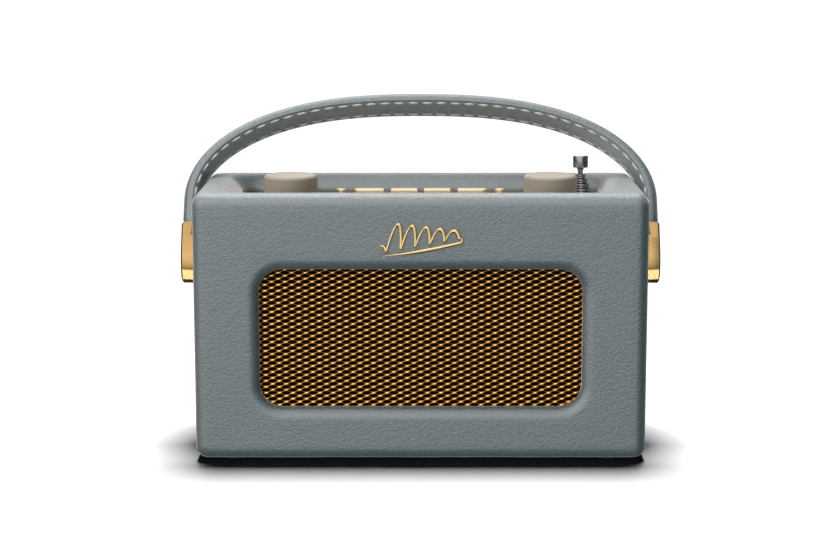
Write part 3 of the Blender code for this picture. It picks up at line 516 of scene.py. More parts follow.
def face_ring(half_x, half_z, radius, y, centre_z=MID_Z):
    """A round-cornered rectangle facing -Y, from its top right corner, always with as many points."""
    sx, sz = half_x - radius, half_z - radius

    def corner(cx, cz, start):
        angles = [math.radians(start + 90 * i / CORNER_STEPS) for i in range(1, CORNER_STEPS)]
        return [(cx + radius * math.cos(a), cz + radius * math.sin(a)) for a in angles]

    points = [(-u * sx, half_z) for u in ACROSS] + corner(-sx, sz, 90)
    points += [(-half_x, -u * sz) for u in UPRIGHT] + corner(-sx, -sz, 180)
    points += [(u * sx, -half_z) for u in ACROSS] + corner(sx, -sz, 270)
    points += [(half_x, u * sz) for u in UPRIGHT] + corner(sx, sz, 0)
    return [Vector((x, y, centre_z + z)) for x, z in points]


def between(first, second, count):
    """Rings strictly between two rings."""
    return [[p.lerp(q, i / count) for p, q in zip(first, second)] for i in range(1, count)]


def slope(count):
    """(share of width left, share of depth reached) down a lip that leans back before it drops."""
    lean, drop = 1.35, 2.55
    made = []
    for i in range(count + 1):
        t = i / count
        early, late = t * (1 - t) ** 2, t * t * (1 - t)
        made.append((1 - lean * early - drop * late - t**3, drop * late + t**3))
    return made


def grown(sizes, grow):
    return [size + grow for size in sizes]


def body_ring(inset, corner_share, y):
    radius = FACE_CORNER + (EDGE - FACE_CORNER) * corner_share
    return face_ring(HALF_X - inset, HALF_Z - inset, radius, y)


def recess_point(u, v, grow, z):
    """A point of the recess's outline, from its place on the rectangle round it, both from -1 to 1."""
    half_x, half_y, radius = grown(RECESS, grow)
    x, y = u * half_x, v * half_y
    cx, cy = math.copysign(half_x - radius, x), math.copysign(half_y - radius, y)
    if abs(x) > abs(cx) and abs(y) > abs(cy):
        away = Vector((x - cx, y - cy)).normalized() * radius
        x, y = cx + away.x, cy + away.y
    return Vector((x, MID_Y + y, z))


def cover_rings():
    """The skin's rings, from inside the grille opening round to the rebate at the back.

    With them come the numbers of the first and last ring of the straight walls.
    """
    rings = [face_ring(*WINDOW, FRONT + ROLL_END, WINDOW_Z)]
    for wide, deep in quarter(10):
        rings.append(face_ring(*grown(WINDOW, ROLL_WIDE * wide), FRONT + ROLL_DEEP * deep, WINDOW_Z))
    rings += between(rings[-1], body_ring(EDGE, 0.0, FRONT), 6)
    for deep, inset in quarter(8):
        rings.append(body_ring(EDGE * inset, 1 - inset, FRONT + EDGE * deep))
    first = len(rings) - 1
    rings += [body_ring(0.0, 1.0, MID_Y + STRAIGHT * v) for v in INWARD[1:]]
    last = len(rings) - 1
    for inset, deep in quarter(8)[1:]:
        rings.append(body_ring(EDGE * inset, 1 - inset, BACK - EDGE * deep))
    rings += between(rings[-1], face_ring(*grown(REBATE, REAR_TURN), BACK), 3)
    for deep, wide in quarter(4):
        rings.append(face_ring(*grown(REBATE, REAR_TURN * wide), BACK - REAR_TURN * deep))
    rings.append(face_ring(*REBATE, BACK - SKIN))
    return rings, first, last


def recess_levels(rim):
    """Rings from the flat top's edge in to the recess's lip and down its wall."""
    places = [(p.x / (HALF_X - EDGE), (p.y - MID_Y) / STRAIGHT) for p in rim]
    levels = between(rim, [recess_point(u, v, LIP_WIDE, TOP) for u, v in places], 4)
    for wide, deep in slope(12):
        levels.append([recess_point(u, v, LIP_WIDE * wide, TOP - LIP_DEEP * deep) for u, v in places])
    levels.append([recess_point(u, v, 0.0, PANEL_LOW) for u, v in places])
    return levels


def leather_cover():
    """One skin that rolls into the grille opening, down into the recess and round to the back."""
    rings, first, last = cover_rings()
    bm = bmesh.new()
    rows = [[bm.verts.new(p) for p in ring] for ring in rings]
    top = len(ACROSS)
    for k, (front, behind) in enumerate(zip(rows, rows[1:])):
        add_band(bm, front, behind, top - 1 if first <= k < last else 0)
    rim = rows[first][:top] + [rows[k][top - 1] for k in range(first + 1, last + 1)]
    rim += rows[last][top - 2 :: -1] + [rows[k][0] for k in range(last - 1, first, -1)]
    for level in recess_levels([v.co.copy() for v in rim]):
        row = [bm.verts.new(p) for p in level]
        add_band(bm, rim, row)
        rim = row

    outward(bm)
    bm.normal_update()
    if min(bm.faces, key=lambda f: f.calc_center_median().y).normal.y > 0:
        bmesh.ops.reverse_faces(bm, faces=bm.faces)
    for vert in bm.verts:
        swell = noise.noise(vert.co * 34) + 0.5 * noise.noise(vert.co * 90)
        vert.co -= vert.normal * UNEVEN * (1 + swell)
    cover = finish_mesh("leather_skin", bm, "radio", "leather", None, ("leather_cover",), 50)
    solid = cover.modifiers.new("thickness", "SOLIDIFY")
    solid.thickness = SKIN - 0.1 * MM
    solid.offset = -1


# Handle ------------------------------------------------------------------------------------------


def leaned(x, across, up):
    """A point of the upright handle (from its pivot), leaned back to where it rests."""
    y = PIVOT.y + up * math.sin(LEAN) + across * math.cos(LEAN)
    return Vector((x, y, PIVOT.z + up * math.cos(LEAN) - across * math.sin(LEAN)))


def squarish(angle, half_u, half_v, power_u, power_v):
    """A point of a superellipse."""
    c, s = math.cos(angle), math.sin(angle)
    u, v = abs(c) ** (2 / power_u), abs(s) ** (2 / power_v)
    return math.copysign(u, c) * half_u, math.copysign(v, s) * half_v


class Arch:
    """The line of the strap's underside, measured from its top centre."""

    def __init__(self, steps=1500):
        side = [(ARCH_HALF, STRAP_END + (ARCH_FOOT - STRAP_END) * i / 60) for i in range(60)]
        for i in range(steps + 1):
            x, up = squarish(math.pi / 2 * i / steps, ARCH_HALF, ARCH_RISE, *ARCH_POWERS)
            side.append((x, ARCH_FOOT + up))
        side.reverse()
        self.points = side
        self.run = [0.0]
        for a, b in zip(side, side[1:]):
            self.run.append(self.run[-1] + math.dist(a, b))
        self.length = self.run[-1]

    def half(self, run):
        k = min(max(1, next((i for i, r in enumerate(self.run) if r >= run), 1)), len(self.run) - 1)
        share = (run - self.run[k - 1]) / max(self.run[k] - self.run[k - 1], 1e-12)
        (x0, up0), (x1, up1) = self.points[k - 1], self.points[k]
        return x0 + (x1 - x0) * share, up0 + (up1 - up0) * share

    def at(self, run):
        """x, height and outward normal at this distance to the right of the top centre."""
        side = -1 if run < 0 else 1
        x, up = self.half(abs(run))
        step = 0.4 * MM
        low, high = max(abs(run) - step, 0.0), min(abs(run) + step, self.length)
        (x0, up0), (x1, up1) = self.half(low), self.half(high)
        long = math.dist((x0, up0), (x1, up1))
        nx, nup = -(up1 - up0) / long, (x1 - x0) / long
        if abs(run) < step:
            nx *= abs(run) / step
            nup = math.sqrt(1 - nx * nx)
        return side * x, up, side * nx, nup


ARCH = Arch()


def neck(up):
    """How much the strap thins where it enters the clasps: its shares of thickness and width."""
    share = min(max((up - CLASP_TOP + 0.8 * MM) / NECK_LONG, 0.0), 1.0)
    share = share * share * (3 - 2 * share)
    return NECK_THICK + (1 - NECK_THICK) * share, NECK_WIDE + (1 - NECK_WIDE) * share


def on_strap(run, across, out):
    x, up, nx, nup = ARCH.at(run)
    thick, wide = neck(up)
    return leaned(x + nx * out * thick, across * wide, up + nup * out * thick)


def strap_runs(step):
    count = math.ceil(ARCH.length / step)
    return [ARCH.length * i / count for i in range(-count, count + 1)]


def strap_cover():
    """The upper leather, wrapped round the strap's edges and turned under beside the lining."""
    inner, seat, low, hem = STRAP_HALF - 0.55 * MM, 1.4 * MM, 0.9 * MM, 0.35 * MM
    turn, crown = [], []
    for i in range(7):
        u, v = squarish(-math.pi / 2 + math.pi / 2 * i / 6, STRAP_HALF - inner, low, 2.6, 2.6)
        turn.append((inner + u, low + v))
    for i in range(1, 28):
        u, v = squarish(math.pi * i / 28, STRAP_HALF, STRAP_THICK - low, 3.4, 2.5)
        crown.append((u, low + v))
    outline = [(-inner, seat), (-inner * 0.5, seat), (inner * 0.5, seat), (inner, seat), (inner, hem)]
    outline += turn + crown + [(-u, v) for u, v in reversed(turn)] + [(-inner, hem)]
    bm = bmesh.new()
    add_loft(bm, [[on_strap(run, s, t) for s, t in outline] for run in strap_runs(1.6 * MM)])
    # The cover wears the leather painted lighter, for light it lacks.
    finish_mesh("handle_leather", outward(bm), "handle", "leather", "lit_strap_leather", ("handle_strap",), 55)


def fade(distance, reach):
    """1 at no distance, falling away as a bell curve."""
    return math.exp(-((distance / reach) ** 2))


def strap_lining():
    """The lining below, pulled in along its two rows of stitches and down into each needle hole."""
    edge = STRAP_HALF - 0.60 * MM
    groove, hole, rounding = 0.07 * MM, 0.5 * MM, 0.1 * MM
    half = [edge, edge - 0.12 * MM, edge - 0.4 * MM]
    half += [STITCH_OFFSET + d * MM for d in (-0.75, -0.45, -0.2, 0.0, 0.2, 0.42)]
    across = sorted(set(half) | {-a for a in half} | {i * MM for i in range(-6, 7, 2)})
    bm = bmesh.new()
    rings = []
    for run in strap_runs(0.45 * MM):
        phase = abs(run) / STITCH_PITCH
        near_hole = fade((phase - round(phase)) * STITCH_PITCH, 0.5 * MM)
        under = []
        for s in across:
            from_row = abs(abs(s) - STITCH_OFFSET)
            lift = groove * fade(from_row, 0.5 * MM) + hole * near_hole * fade(from_row, 0.3 * MM)
            lift += rounding * max(0.0, 1 - (edge - abs(s)) / (0.4 * MM)) ** 2
            under.append((s, lift))
        upper = [(s, LINING_THICK) for s in reversed(across[::4])]
        rings.append([on_strap(run, s, t) for s, t in under + upper])
    add_loft(bm, rings)
    node = "handle_lining"
    # The lining wears the leather painted much lighter, for light it lacks underneath.
    finish_mesh("handle_underside", outward(bm), "handle", "leather", "lit_lining_leather", (node,), 60)


def stitch(centre, row, bow):
    """Rings along one stitch, which starts and ends inside the lining and bows out between."""
    sides, steps = 8, 9
    rings = []
    for i in range(steps + 1):
        t = i / steps
        radius = THREAD * math.sqrt(max(1 - (2 * t - 1) ** 4, 0.04))
        run = centre + (t - 0.5) * STITCH_LONG
        lift = (0.45 - 0.80 * math.sin(math.pi * t) ** 0.55) * MM
        offset = STITCH_OFFSET + bow * math.sin(math.pi * t)
        angles = [2 * math.pi * j / sides for j in range(sides)]
        turns = [(radius * math.cos(a), 0.8 * radius * math.sin(a)) for a in angles]
        rings.append([on_strap(run, row * offset + u, lift + v) for u, v in turns])
    return rings


def stitches():
    """Two rows of thread that dip into the lining at every needle hole."""
    bm = bmesh.new()
    count = int((ARCH.length - STRAP_END) / STITCH_PITCH)
    for row in (-1, 1):
        for k in range(-count, count):
            centre = (k + 0.5) * STITCH_PITCH
            if ARCH.at(centre)[1] >= CLASP_TOP + NECK_LONG:
                add_loft(bm, stitch(centre, row, 0.6 * MM if k % 2 else 0.45 * MM))
    finish_mesh("handle_stitching", outward(bm), "handle", "leather", "thread")


def clasp_outline():
    """Side view of a clasp: straight sides, half an ellipse below and slightly eased top corners."""
    half, shoulder, ease, steps = 10.8 * MM, 8.0 * MM, 0.7 * MM, 20
    top, low = CLASP_TOP, CLASP_LOW
    points = []
    for side, start in ((1, 0), (-1, 90)):
        for i in range(7):
            a = math.radians(start + 15 * i)
            points.append((side * (half - ease) + ease * math.cos(a), top - ease + ease * math.sin(a)))
    for i in range(1, 4):
        points.append((-half, top - ease + (shoulder - top + ease) * i / 4))
    for i in range(steps + 1):
        a = math.pi + math.pi * i / steps
        points.append((half * math.cos(a), shoulder + (shoulder - low) * math.sin(a)))
    for i in range(1, 4):
        points.append((half, shoulder + (top - ease - shoulder) * i / 4))
    return points


def clasp_cutters(side):
    """The strap's pocket, and the stepped bore of the pivot screw."""
    thick, wide = STRAP_THICK * NECK_THICK, STRAP_HALF * NECK_WIDE
    mouth = CLASP_TOP + GAP
    pocket = []
    for up, flare in ((STRAP_END - GAP, 0.0), (CLASP_TOP - 0.9 * MM, 0.0), (mouth, 0.3 * MM)):
        outline = round_rect(thick / 2 + 0.25 * MM + flare, wide + GAP + flare, 0.6 * MM, 4)
        pocket.append([leaned(side * (ARCH_HALF + thick / 2 + u), v, up) for u, v in outline])
    cuts = [cutter(pocket)]
    for radius, start in ((2.08 * MM, 100 * MM), (3.8 * MM, 111.7 * MM)):
        angles = [math.pi * i / 24 for i in range(48)]
        outline = [(radius * math.cos(a), radius * math.sin(a)) for a in angles]
        cuts.append(cutter([[leaned(side * x, u, v) for u, v in outline] for x in (start, 120 * MM)]))
    return cuts


def clasp(side, name):
    """A polished brass end piece, with a pocket for the strap and a seat for its pivot screw."""
    inner, shoulder, outer = 107.5 * MM, 113.45 * MM, 114.3 * MM
    heart = (CLASP_TOP + CLASP_LOW) / 2
    bevel, ease = 1.1 * MM, 0.12 * MM
    profile = [(0.25 * MM, inner), (0.0, inner + 0.25 * MM), (0.0, shoulder)]
    profile += [(0.02 * MM, shoulder + 0.06 * MM), (bevel - ease, outer - 0.03 * MM), (bevel + ease, outer)]
    rings = []
    for inset, x in profile:
        ring = []
        for u, v in clasp_outline():
            away = Vector((u, v - heart))
            away *= 1 - inset / away.length
            ring.append(leaned(side * x, away.x, heart + away.y))
        rings.append(ring)
    bm = bmesh.new()
    add_loft(bm, rings)
    node = "handle_fitting_" + name
    piece = finish_mesh("handle_clasp_" + name, outward(bm), "handle", "brass", None, (node,), 38)
    carve(piece, *clasp_cutters(side))
    piece.data.set_sharp_from_angle(angle=math.radians(38))


def pivot_screw(side, name):
    """A slotted brass screw: the handle turns on its plain shank."""
    head, shank = 3.5 * MM, 2.0 * MM
    seat, crown = 112.0 * MM, 114.0 * MM
    profile = [(shank, side * 95 * MM), (shank, side * seat), (head - 0.1 * MM, side * seat)]
    profile.append((head, side * (seat + 0.1 * MM)))
    for wide, deep in quarter(6):
        profile.append((head - 0.5 * MM * wide, side * (crown - 0.3 * MM - 0.6 * MM * deep)))
    profile += [(head * 0.6, side * (crown - 0.1 * MM)), (head * 0.3, side * crown)]
    node = "handle_screw_" + name
    piece = turned("pivot_screw_" + name, profile, PIVOT, across_x, "radio", "brass", (node,), 48)
    outline = round_rect(5 * MM, 0.4 * MM, 0.05 * MM, 1)
    slot = [[across_x(u, v, side * x, PIVOT) for u, v in outline] for x in (113.2 * MM, 118 * MM)]
    carve(piece, cutter(slot))
    piece.data.set_sharp_from_angle(angle=math.radians(40))


# Front -------------------------------------------------------------------------------------------


def grille_outline(node):
    """Half sizes and corner radius of a sheet that fills the grille opening and the margin round it."""
    low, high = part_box(node)
    half_x = (high.x - low.x) / 2
    return half_x, (high.z - low.z) / 2, WINDOW[2] + half_x - WINDOW[0]


def strand(row, legs, depth):
    """Rings along one strand, which climbs to the row above and falls back to its own by turns."""
    per_leg = 6
    section = [(-1, 0.0), (-0.72, 0.75), (0, 1.0), (0.72, 0.75), (1, 0.0), (0, -0.7)]
    rings = []
    for i in range(-legs * per_leg, legs * per_leg + 1):
        t = i / per_leg
        cycle = math.cos(math.pi * (t + row % 2))
        fall = math.sin(math.pi * (t + row % 2))
        climb = math.copysign(abs(cycle) ** 0.8, cycle) * (MESH_SHORT / 4 - 0.18 * MM)
        lean = math.radians(34 + 20 * abs(cycle))
        wide, thick = (0.42 + 0.08 * abs(cycle)) * MM, 0.22 * MM
        ring = []
        for u, v in section:
            up = u * wide * math.cos(lean) + v * thick * math.sin(lean)
            out = -u * wide * math.sin(lean) + v * thick * math.cos(lean)
            x, z = t * MESH_LONG / 2 + fall * up * 0.25, row * MESH_SHORT / 2 + climb + up
            ring.append(Vector((x, depth - out * 0.8, WINDOW_Z + z)))
        rings.append(ring)
    return rings


def grille():
    """Expanded brass: slit sheet pulled open, so each strand climbs and falls between its bonds."""
    half_x, half_z, radius = grille_outline("grille_mesh")
    bm = bmesh.new()
    rows = int(half_z / (MESH_SHORT / 2))
    for row in range(-rows, rows + 1):
        reach_z = abs(row) * MESH_SHORT / 2 + 0.6 * MM
        if reach_z > half_z:
            continue
        beyond = max(0.0, reach_z - (half_z - radius))
        reach = half_x - radius + math.sqrt(max(radius**2 - beyond**2, 0.0))
        add_loft(bm, strand(row, int(reach / (MESH_LONG / 2)), middle("grille_mesh").y))
    finish_mesh("grille_lattice", outward(bm), "radio", "grille_brass", None, ("grille_mesh",), 60)


def scrim():
    """Black cloth stretched over the board behind the mesh."""
    low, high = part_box("grille_cloth")
    outline = grille_outline("grille_cloth")
    bm = bmesh.new()
    add_loft(bm, [face_ring(*outline, y, WINDOW_Z) for y in (low.y, high.y)])
    cloth = finish_mesh("speaker_cloth", outward(bm), "radio", "cloth", None, ("grille_cloth",))


WAVES, WAVE_WIDTH, WAVE_HIGH, WAVE_LOW, SLANT = 5, 34.0 * MM, 9.2 * MM, 3.0 * MM, 0.36
TILT, TURN, NIB, ROUND = math.radians(10), 1.0 * MM, math.radians(55), 0.75 * MM
WAVE_STEPS, TURN_STEPS, LINE_STEPS = 260, 12, 80


def flourish_line():
    """(x, z) along the stroke: waves to the right, a turn, and the line back under them."""
    line = []
    for i in range(WAVE_STEPS + 1):
        t = -0.1 + 1.1 * i / WAVE_STEPS
        tall = WAVE_LOW + WAVE_HIGH * (1 - t) if t > 0 else WAVE_LOW
        z = tall * (1 - math.cos(2 * math.pi * WAVES * t)) / 2
        line.append((WAVE_WIDTH * (t - 0.5) + SLANT * z - ROUND * math.sin(2 * math.pi * WAVES * t), z))
    end = WAVE_WIDTH / 2
    for i in range(1, TURN_STEPS + 1):
        a = math.pi * i / TURN_STEPS
        line.append((end + TURN * math.sin(a), TURN * (math.cos(a) - 1)))
    for i in range(1, LINE_STEPS + 1):
        t = i / LINE_STEPS
        line.append((end - (WAVE_WIDTH + 2 * MM) * t, -TURN * (2 + 0.7 * math.sin(math.pi * t))))
    c, s = math.cos(TILT), math.sin(TILT)
    return [(x * c - z * s, x * s + z * c) for x, z in line]


def flourish():
    """A pen stroke in relief, broad where a slanting nib would write broad."""
    high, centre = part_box("badge")[1], middle("badge")
    line = flourish_line()
    spans = [(min(values) + max(values)) / 2 for values in zip(*line)]
    points = [Vector((centre.x + x - spans[0], 0, centre.z + z - spans[1])) for x, z in line]
    rings = []
    sides, last = 12, len(points) - 1
    for i, point in enumerate(points):
        along = (points[min(i + 1, last)] - points[max(i - 1, 0)]).normalized()
        side = Vector((-along.z, 0, along.x))
        wide = 0.36 + 0.62 * abs(along.z * math.cos(NIB) - along.x * math.sin(NIB))
        if i > WAVE_STEPS:
            wide = 0.46 + 0.36 * math.sin(math.pi * (i - WAVE_STEPS) / (last - WAVE_STEPS))
        wide *= (0.3 + 0.7 * min(1.0, (i + 1) / 14, (last + 1 - i) / 40)) * MM
        proud = 0.62 * min(wide, 0.55 * MM)
        ring = []
        for j in range(sides):
            a = 2 * math.pi * j / sides
            lift = Vector((0, high.y - proud + proud * math.sin(a), 0))
            ring.append(point + side * wide * math.cos(a) + lift)
        rings.append(ring)
    bm = bmesh.new()
    add_loft(bm, rings)
    finish_mesh("front_ornament", outward(bm), "radio", "brass", "gilt", ("badge",), 60)


# Top ---------------------------------------------------------------------------------------------


def knob(name):
    """A broad turned knob with an eased rim and a shallow dish in its top."""
    low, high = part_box(name + "_knob")
    radius, bore, ease = (high.x - low.x) / 2, 3.3 * MM, 0.25 * MM
    dish, hole, deep = radius - 2.3 * MM, 0.4 * MM, high.z - 2.5 * MM
    profile = [(bore, low.z), (radius - 2 * ease, low.z)]
    for up, out in quarter(6):
        profile.append((radius - ease * out, low.z + ease * up))
    profile += arc(radius - ease, high.z, 1.7 * MM, 10)
    dished = ((0.15, 0.0), (0.0, 0.02), (-0.25, 0.12), (-0.8, 0.16))
    profile += [(dish + out * MM, high.z - down * MM) for out, down in dished]
    profile += [(dish * 0.5, high.z - 0.28 * MM), (hole, high.z - 0.32 * MM), (hole, deep), (bore, deep)]
    body = name + "_knob"
    turned(name + "_dial", profile, middle(body), across_z, body, "cream", (body,), 96, True, 32)


def button_ring(low, high, inset, z, ends):
    """Outline of a bar button: tight corners, and a round end where the row stops."""
    half_x, half_y = (high.x - low.x) / 2 - inset, (high.y - low.y) / 2 - inset
    cx, cy = (low.x + high.x) / 2, (low.y + high.y) / 2
    points = []
    for k, (su, sv) in enumerate(((1, 1), (-1, 1), (-1, -1), (1, -1))):
        full = ends[1] if su > 0 else ends[0]
        radius = max(min((2.9 if full else 0.6) * MM - inset, half_y - 0.15 * MM), 0.15 * MM)
        for i in range(9):
            a = math.pi / 2 * (k + i / 8)
            x = cx + su * (half_x - radius) + radius * math.cos(a)
            y = cy + sv * (half_y - radius) + radius * math.sin(a)
            points.append(Vector((x, y, z)))
    return points


def preset_button(index):
    name = "preset_button_%d" % index
    low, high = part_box(name)
    ends = (index == 1, index == 4)
    under = PANEL_LOW - GAP
    levels = [(2.4, low.z), (2.4, PANEL_LOW - 1.8 * MM), (0.0, PANEL_LOW - MM), (0.0, under), (0.7, under)]
    levels += [(0.7 + 0.5 * wide, high.z - 0.5 * deep * MM) for wide, deep in quarter(6)]
    levels += [(1.6, high.z - 0.02 * MM), (2.3, high.z - 0.08 * MM)]
    bm = bmesh.new()
    add_loft(bm, [button_ring(low, high, inset * MM, z, ends) for inset, z in levels])
    body = next(b for b, nodes in frame["record"]["behaviour"]["bodies"].items() if name in nodes)
    finish_mesh("bar_button_%d" % index, outward(bm), body, "champagne", None, (name,), 30)


def round_button(name):
    low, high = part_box(name)
    centre, radius = (low + high) / 2, (high.x - low.x) / 2 - 0.7 * MM
    under, flange = PANEL_LOW - GAP, radius + 0.7 * MM
    profile = [(1.6 * MM, low.z), (1.6 * MM, PANEL_LOW - 1.8 * MM)]
    profile += [(flange, PANEL_LOW - MM), (flange, under), (radius, under)]
    profile += arc(radius, high.z, 0.5 * MM, 6)
    profile += [(radius * 0.5, high.z - 0.05 * MM), (radius * 0.15, high.z - 0.08 * MM)]
    turned(name + "_cap", profile, centre, across_z, name, "champagne", (name,), 48, sharp=30)


def beads(radius, low, high, count, depth):
    """A run of rounded rings up a turned profile."""
    points = []
    tall = (high - low) / count
    for k in range(count):
        for i in range(9):
            a = math.pi * i / 8
            place = low + tall * (k + 0.06 + 0.88 * i / 8)
            points.append((radius - depth + depth * math.sin(a) ** 0.7, place))
    return points


# Node, wall and how far its collar stands out
SLEEVES = (
    ("antenna_bush", 0.45 * MM, 1.0 * MM),
    ("antenna_tube_1", 0.4 * MM, 0.8 * MM),
    ("antenna_tube_2", 0.4 * MM, 0.5 * MM),
    ("antenna_tube_3", 1.1 * MM, 0.2 * MM),
)


def aerial():
    """Nested chrome tubes, each with a ringed collar, and a capped rod."""
    centre = middle("antenna_rod")
    for name, wall, flare in SLEEVES:
        low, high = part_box(name)
        radius = (high.x - low.x) / 2
        inner, outer, collar = radius - wall, radius - 0.05 * MM, high.z - 2.3 * MM
        profile = [(outer, low.z), (outer, collar)] + beads(radius + flare, collar, high.z, 2, 0.4 * MM)
        profile += [(inner + 0.1 * MM, high.z), (inner, high.z - 0.1 * MM), (inner, low.z)]
        body = "radio" if name == "antenna_bush" else name
        turned(name + "_sleeve", profile, centre, across_z, body, "chrome", (name,), 48, True, 50)
    low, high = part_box("antenna_rod")
    radius = (high.x - low.x) / 2
    profile = [(radius, low.z), (radius, high.z - 1.2 * MM)]
    profile += beads(radius + 0.5 * MM, high.z - 1.1 * MM, high.z, 1, 0.5 * MM)
    rod = "antenna_rod"
    turned("antenna_rod_polished", profile, centre, across_z, rod, "chrome", (rod,), 32)
    low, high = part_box("antenna_tip")
    radius, ease = (high.x - low.x) / 2, 0.35 * MM
    profile = [(radius * 0.55, low.z), (radius - ease, low.z)]
    profile += [(radius - ease * out, low.z + ease * up) for up, out in quarter(5)]
    profile += arc(radius, high.z, 0.6 * MM, 8) + [(radius * 0.55, high.z), (radius * 0.2, high.z)]
    turned("antenna_cap", profile, centre, across_z, rod, "chrome", ("antenna_tip",), 56, sharp=45)


# Back and underside ------------------------------------------------------------------------------


def eased_copy(node, name, width):
    """The CAD node's own shape with its edges eased."""
    source = frame["nodes"][node]
    slot = source.data.materials[0].name.split(".")[0]
    bm = bmesh.new()
    bm.from_mesh(source.data)
    bmesh.ops.remove_doubles(bm, verts=bm.verts, dist=1e-6)
    bmesh.ops.dissolve_limit(bm, angle_limit=math.radians(1), verts=bm.verts, edges=bm.edges)
    piece = finish_mesh(name, bm, source["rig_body"], slot, None, (node,), 40)
    ease = piece.modifiers.new("ease", "BEVEL")
    ease.width = width
    ease.segments = 3
    ease.limit_method = "ANGLE"
    ease.angle_limit = math.radians(50)
    ease.harden_normals = True
    return piece


def back_screw(index):
    """A domed brass screw with a cross recess."""
    node = "back_screw_%d" % index
    low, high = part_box(node)
    centre, head, face = (low + high) / 2, (high.x - low.x) / 2, high.y
    shank, seat = 1.0 * MM, high.y - 0.8 * MM
    profile = [(shank, low.y), (shank, seat), (head, seat)]
    profile += [(head - 0.05 * MM * i * i, seat + 0.2 * MM * i) for i in range(1, 4)]
    profile += [(head * 0.5, face - 0.08 * MM), (head * 0.15, face)]
    piece = turned(node + "_head", profile, centre, across_y, "radio", "brass", (node,), 40)
    cuts = []
    for wide, tall in ((1.5 * MM, 0.22 * MM), (0.22 * MM, 1.5 * MM)):
        outline = round_rect(wide, tall, 0.04 * MM, 1)
        depths = (face - 0.55 * MM, face + 1 * MM)
        cuts.append(cutter([[across_y(u, v, y, centre) for u, v in outline] for y in depths]))
    carve(piece, *cuts)
    piece.data.set_sharp_from_angle(angle=math.radians(40))


def foot(index):
    """A rubber disc with an eased edge and a shallow hollow in its sole."""
    node = "foot_%d" % index
    low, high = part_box(node)
    radius, ease = (high.x - low.x) / 2, 0.5 * MM
    profile = [(radius * 0.3, 0.25 * MM), (radius * 0.55, 0.0), (radius - ease, 0.0)]
    profile += [(radius - ease * out, ease * up) for up, out in quarter(5)[1:]]
    profile += [(radius, high.z), (radius * 0.3, high.z)]
    turned("rubber_foot_%d" % index, profile, middle(node), across_z, "radio", "rubber", (node,), 40)


# Stage -------------------------------------------------------------------------------------------


def stage():
    """A matt floor that the lamps brighten to white. It stays out of reflections and bounced light."""
    bm = bmesh.new()
    reach = 0.6
    bm.faces.new([bm.verts.new((x * reach, y * reach, 0)) for x, y in ((-1, -1), (1, -1), (1, 1), (-1, 1))])
    floor = as_object("floor", bm)
    paint = Look("floor_paint", (0.06, 0.06, 0.06), 0.9, Specular_IOR_Level=0.0)
    paint.colour(paint.ramp(paint.noise(8), (0.3, (0.0598, 0.0598, 0.06)), (0.7, 0.0602)))
    floor.data.materials.append(paint.material)
    floor.visible_diffuse = False
    floor.visible_glossy = False
    floor.visible_shadow = False


HANDLE = ("handle_leather", "handle_underside", "handle_stitching")


def linked(name, pieces, state):
    """A collection of pieces that a lamp includes or excludes."""
    chosen = bpy.data.collections.new(name)
    for piece in pieces:
        chosen.objects.link(bpy.data.objects[piece])
    for entry in chosen.collection_objects:
        entry.light_linking.link_state = state
    return chosen


def area_light(name, place, aim, size, power, colour, lights, shown):
    """A soft box that lights only the pieces named, or all but the floor. The strap never shades it.

    One that isn't shown has no reflection.
    """
    lamp = bpy.data.lights.new(name, "AREA")
    lamp.shape = "RECTANGLE"
    lamp.size, lamp.size_y = size
    lamp.energy = power
    lamp.color = colour
    holder = bpy.data.objects.new(name, lamp)
    holder.location = place
    holder.rotation_euler = (Vector(aim) - Vector(place)).to_track_quat("-Z", "Y").to_euler()
    holder.visible_camera = False
    holder.visible_glossy = shown
    bpy.context.scene.collection.objects.link(holder)
    state = "INCLUDE" if lights else "EXCLUDE"
    holder.light_linking.receiver_collection = linked(name + "_lights", lights or ("floor",), state)
    holder.light_linking.blocker_collection = linked(name + "_passes", HANDLE, "EXCLUDE")


DARK, WHITE, PINK = (0.10, 0.15, 0.16), (1.0, 1.0, 1.0), (1.0, 0.68, 0.62)
CLASPS = ("handle_clasp_left", "handle_clasp_right")
# The room's brightness from one side to the other along each axis
WORLD = {
    "X": ((0.01, 0.03), (0.145, 0.05), (0.19, 0.9), (0.40, 1.0), (0.58, 0.9), (0.67, DARK)),
    "Y": ((0.20, 0.88), (0.34, 0.5), (0.43, 0.5), (0.56, 1.0)),
    "Z": (
        (0.26, (0.03, 0.045, 0.05)),
        (0.36, (0.50, 0.51, 0.515)),
        (0.52, 0.85),
        (0.66, 1.0),
        (0.95, 0.8),
    ),
}
GLOSS, SOFT, BACKDROP = 1.8, 0.15, 1.1
# Name, place, aim, size, power, colour, what it lights, and whether it shows in reflections
LAMPS = (
    ("floor_light", (0, 0.31, 2.0), (0, 0.1, 0), (0.58, 0.52), 900, WHITE, ("floor",), False),
    ("overhead", (-0.15, 0.34, 2.0), (-0.1, 0.1, 0), (2.2, 0.55), 32, (1.0, 0.99, 0.98), (), False),
    ("softbox", (-0.1, 0.7, 1.9), (-0.05, 0.05, 0.05), (2.2, 1.6), 12, WHITE, (), True),
    ("skylight", (-0.1, 0.12, 2.0), (0, 0.05, 0.12), (2.2, 0.7), 130, PINK, ("leather_skin",), False),
    ("bounce", (0, -0.5, -0.9), (0, 0, 0.09), (1.6, 1.0), 8, WHITE, (), False),
    ("glow", (0, -0.45, -0.6), (0, 0, 0.08), (1.6, 0.9), 12, WHITE, CLASPS, True),
    ("key", (-1.5, -1.3, 1.5), (0, 0, 0.08), (1.4, 1.4), 24, (1.0, 0.99, 0.97), (), False),
    ("fill", (-0.2, -2.0, 0.25), (0, 0, 0.08), (1.8, 0.45), 7, WHITE, (), False),
)


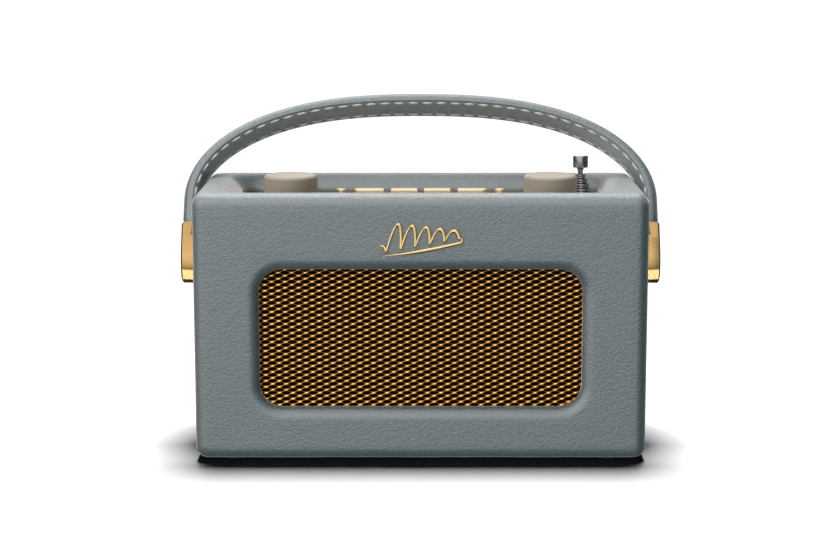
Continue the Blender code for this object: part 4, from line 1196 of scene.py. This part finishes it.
def studio():
    """A white room with dark sides: light from above and the left, little from the right or below.

    The walls show full strength in reflections and only a breath of it as fill.
    """
    world = bpy.data.worlds.new("studio")
    bpy.context.scene.world = world
    world.use_nodes = True
    world.cycles.sampling_method = "NONE"
    room = Nodes(world.node_tree)
    background = room.tree.nodes["Background"]
    split = room.node("SeparateXYZ", Vector=room.node("TexCoord").outputs["Generated"])
    x, y, z = (split.outputs[axis] for axis in "XYZ")
    rise = room.math("MAXIMUM", room.math("MULTIPLY", y, 0.55), 0.0)
    widen = room.math("MAXIMUM", room.math("MULTIPLY", y, 1.5), 0.0)
    places = {
        "X": room.span(room.math("MULTIPLY", x, room.math("ADD", widen, 1.0)), -1.5, 1.5, 0.0, 1.0),
        "Y": room.span(y, -1.0, 1.0, 0.0, 1.0),
        "Z": room.span(room.math("ADD", z, rise), -1.0, 1.0, 0.0, 1.0),
    }
    tones = [room.ramp(places[axis], *stops) for axis, stops in WORLD.items()]
    colour = room.blend(1.0, room.blend(1.0, tones[0], tones[1], "MULTIPLY"), tones[2], "MULTIPLY")
    path = room.node("LightPath")
    seen = room.blend(path.outputs["Is Camera Ray"], colour, (BACKDROP / GLOSS,) * 3)
    room.set(background.inputs["Color"], seen)
    room.set(background.inputs["Strength"], room.span(path.outputs["Is Diffuse Ray"], 0.0, 1.0, GLOSS, SOFT))
    for lamp in LAMPS:
        area_light(*lamp)


def camera():
    """A long lens 0.85 m before the front, looking slightly down."""
    lens = bpy.data.cameras.new("camera")
    lens.lens = 80.775
    lens.sensor_width = 36.0
    lens.shift_y = -0.0463
    lens.clip_start, lens.clip_end = 0.05, 50
    holder = bpy.data.objects.new("camera", lens)
    holder.location = (-0.0003, FRONT - 0.84956, TOP + 0.1192)
    holder.rotation_euler = Euler((math.radians(90 - 9.4), 0, 0))
    bpy.context.scene.collection.objects.link(holder)
    bpy.context.scene.camera = holder


# -------------------------------------------------------------------------------------------------

for node in frame["nodes"].values():
    slot = node.data.materials[0].name.split(".")[0]
    node.data.materials[0] = LOOKS[slot]

camera()
stage()
bpy.context.scene.view_settings.view_transform = "Standard"

leather_cover()
strap_cover()
strap_lining()
stitches()
for side, name in ((-1, "left"), (1, "right")):
    clasp(side, name)
    pivot_screw(side, name)
grille()
scrim()
flourish()
for name in ("volume", "tuning"):
    knob(name)
for index in range(1, 5):
    preset_button(index)
    back_screw(index)
    foot(index)
for name in ("power_button", "alarm_button"):
    round_button(name)
aerial()
eased_copy("back_panel", "back_cover", 0.8 * MM)
eased_copy("battery_door", "battery_hatch", 0.3 * MM)
studio()
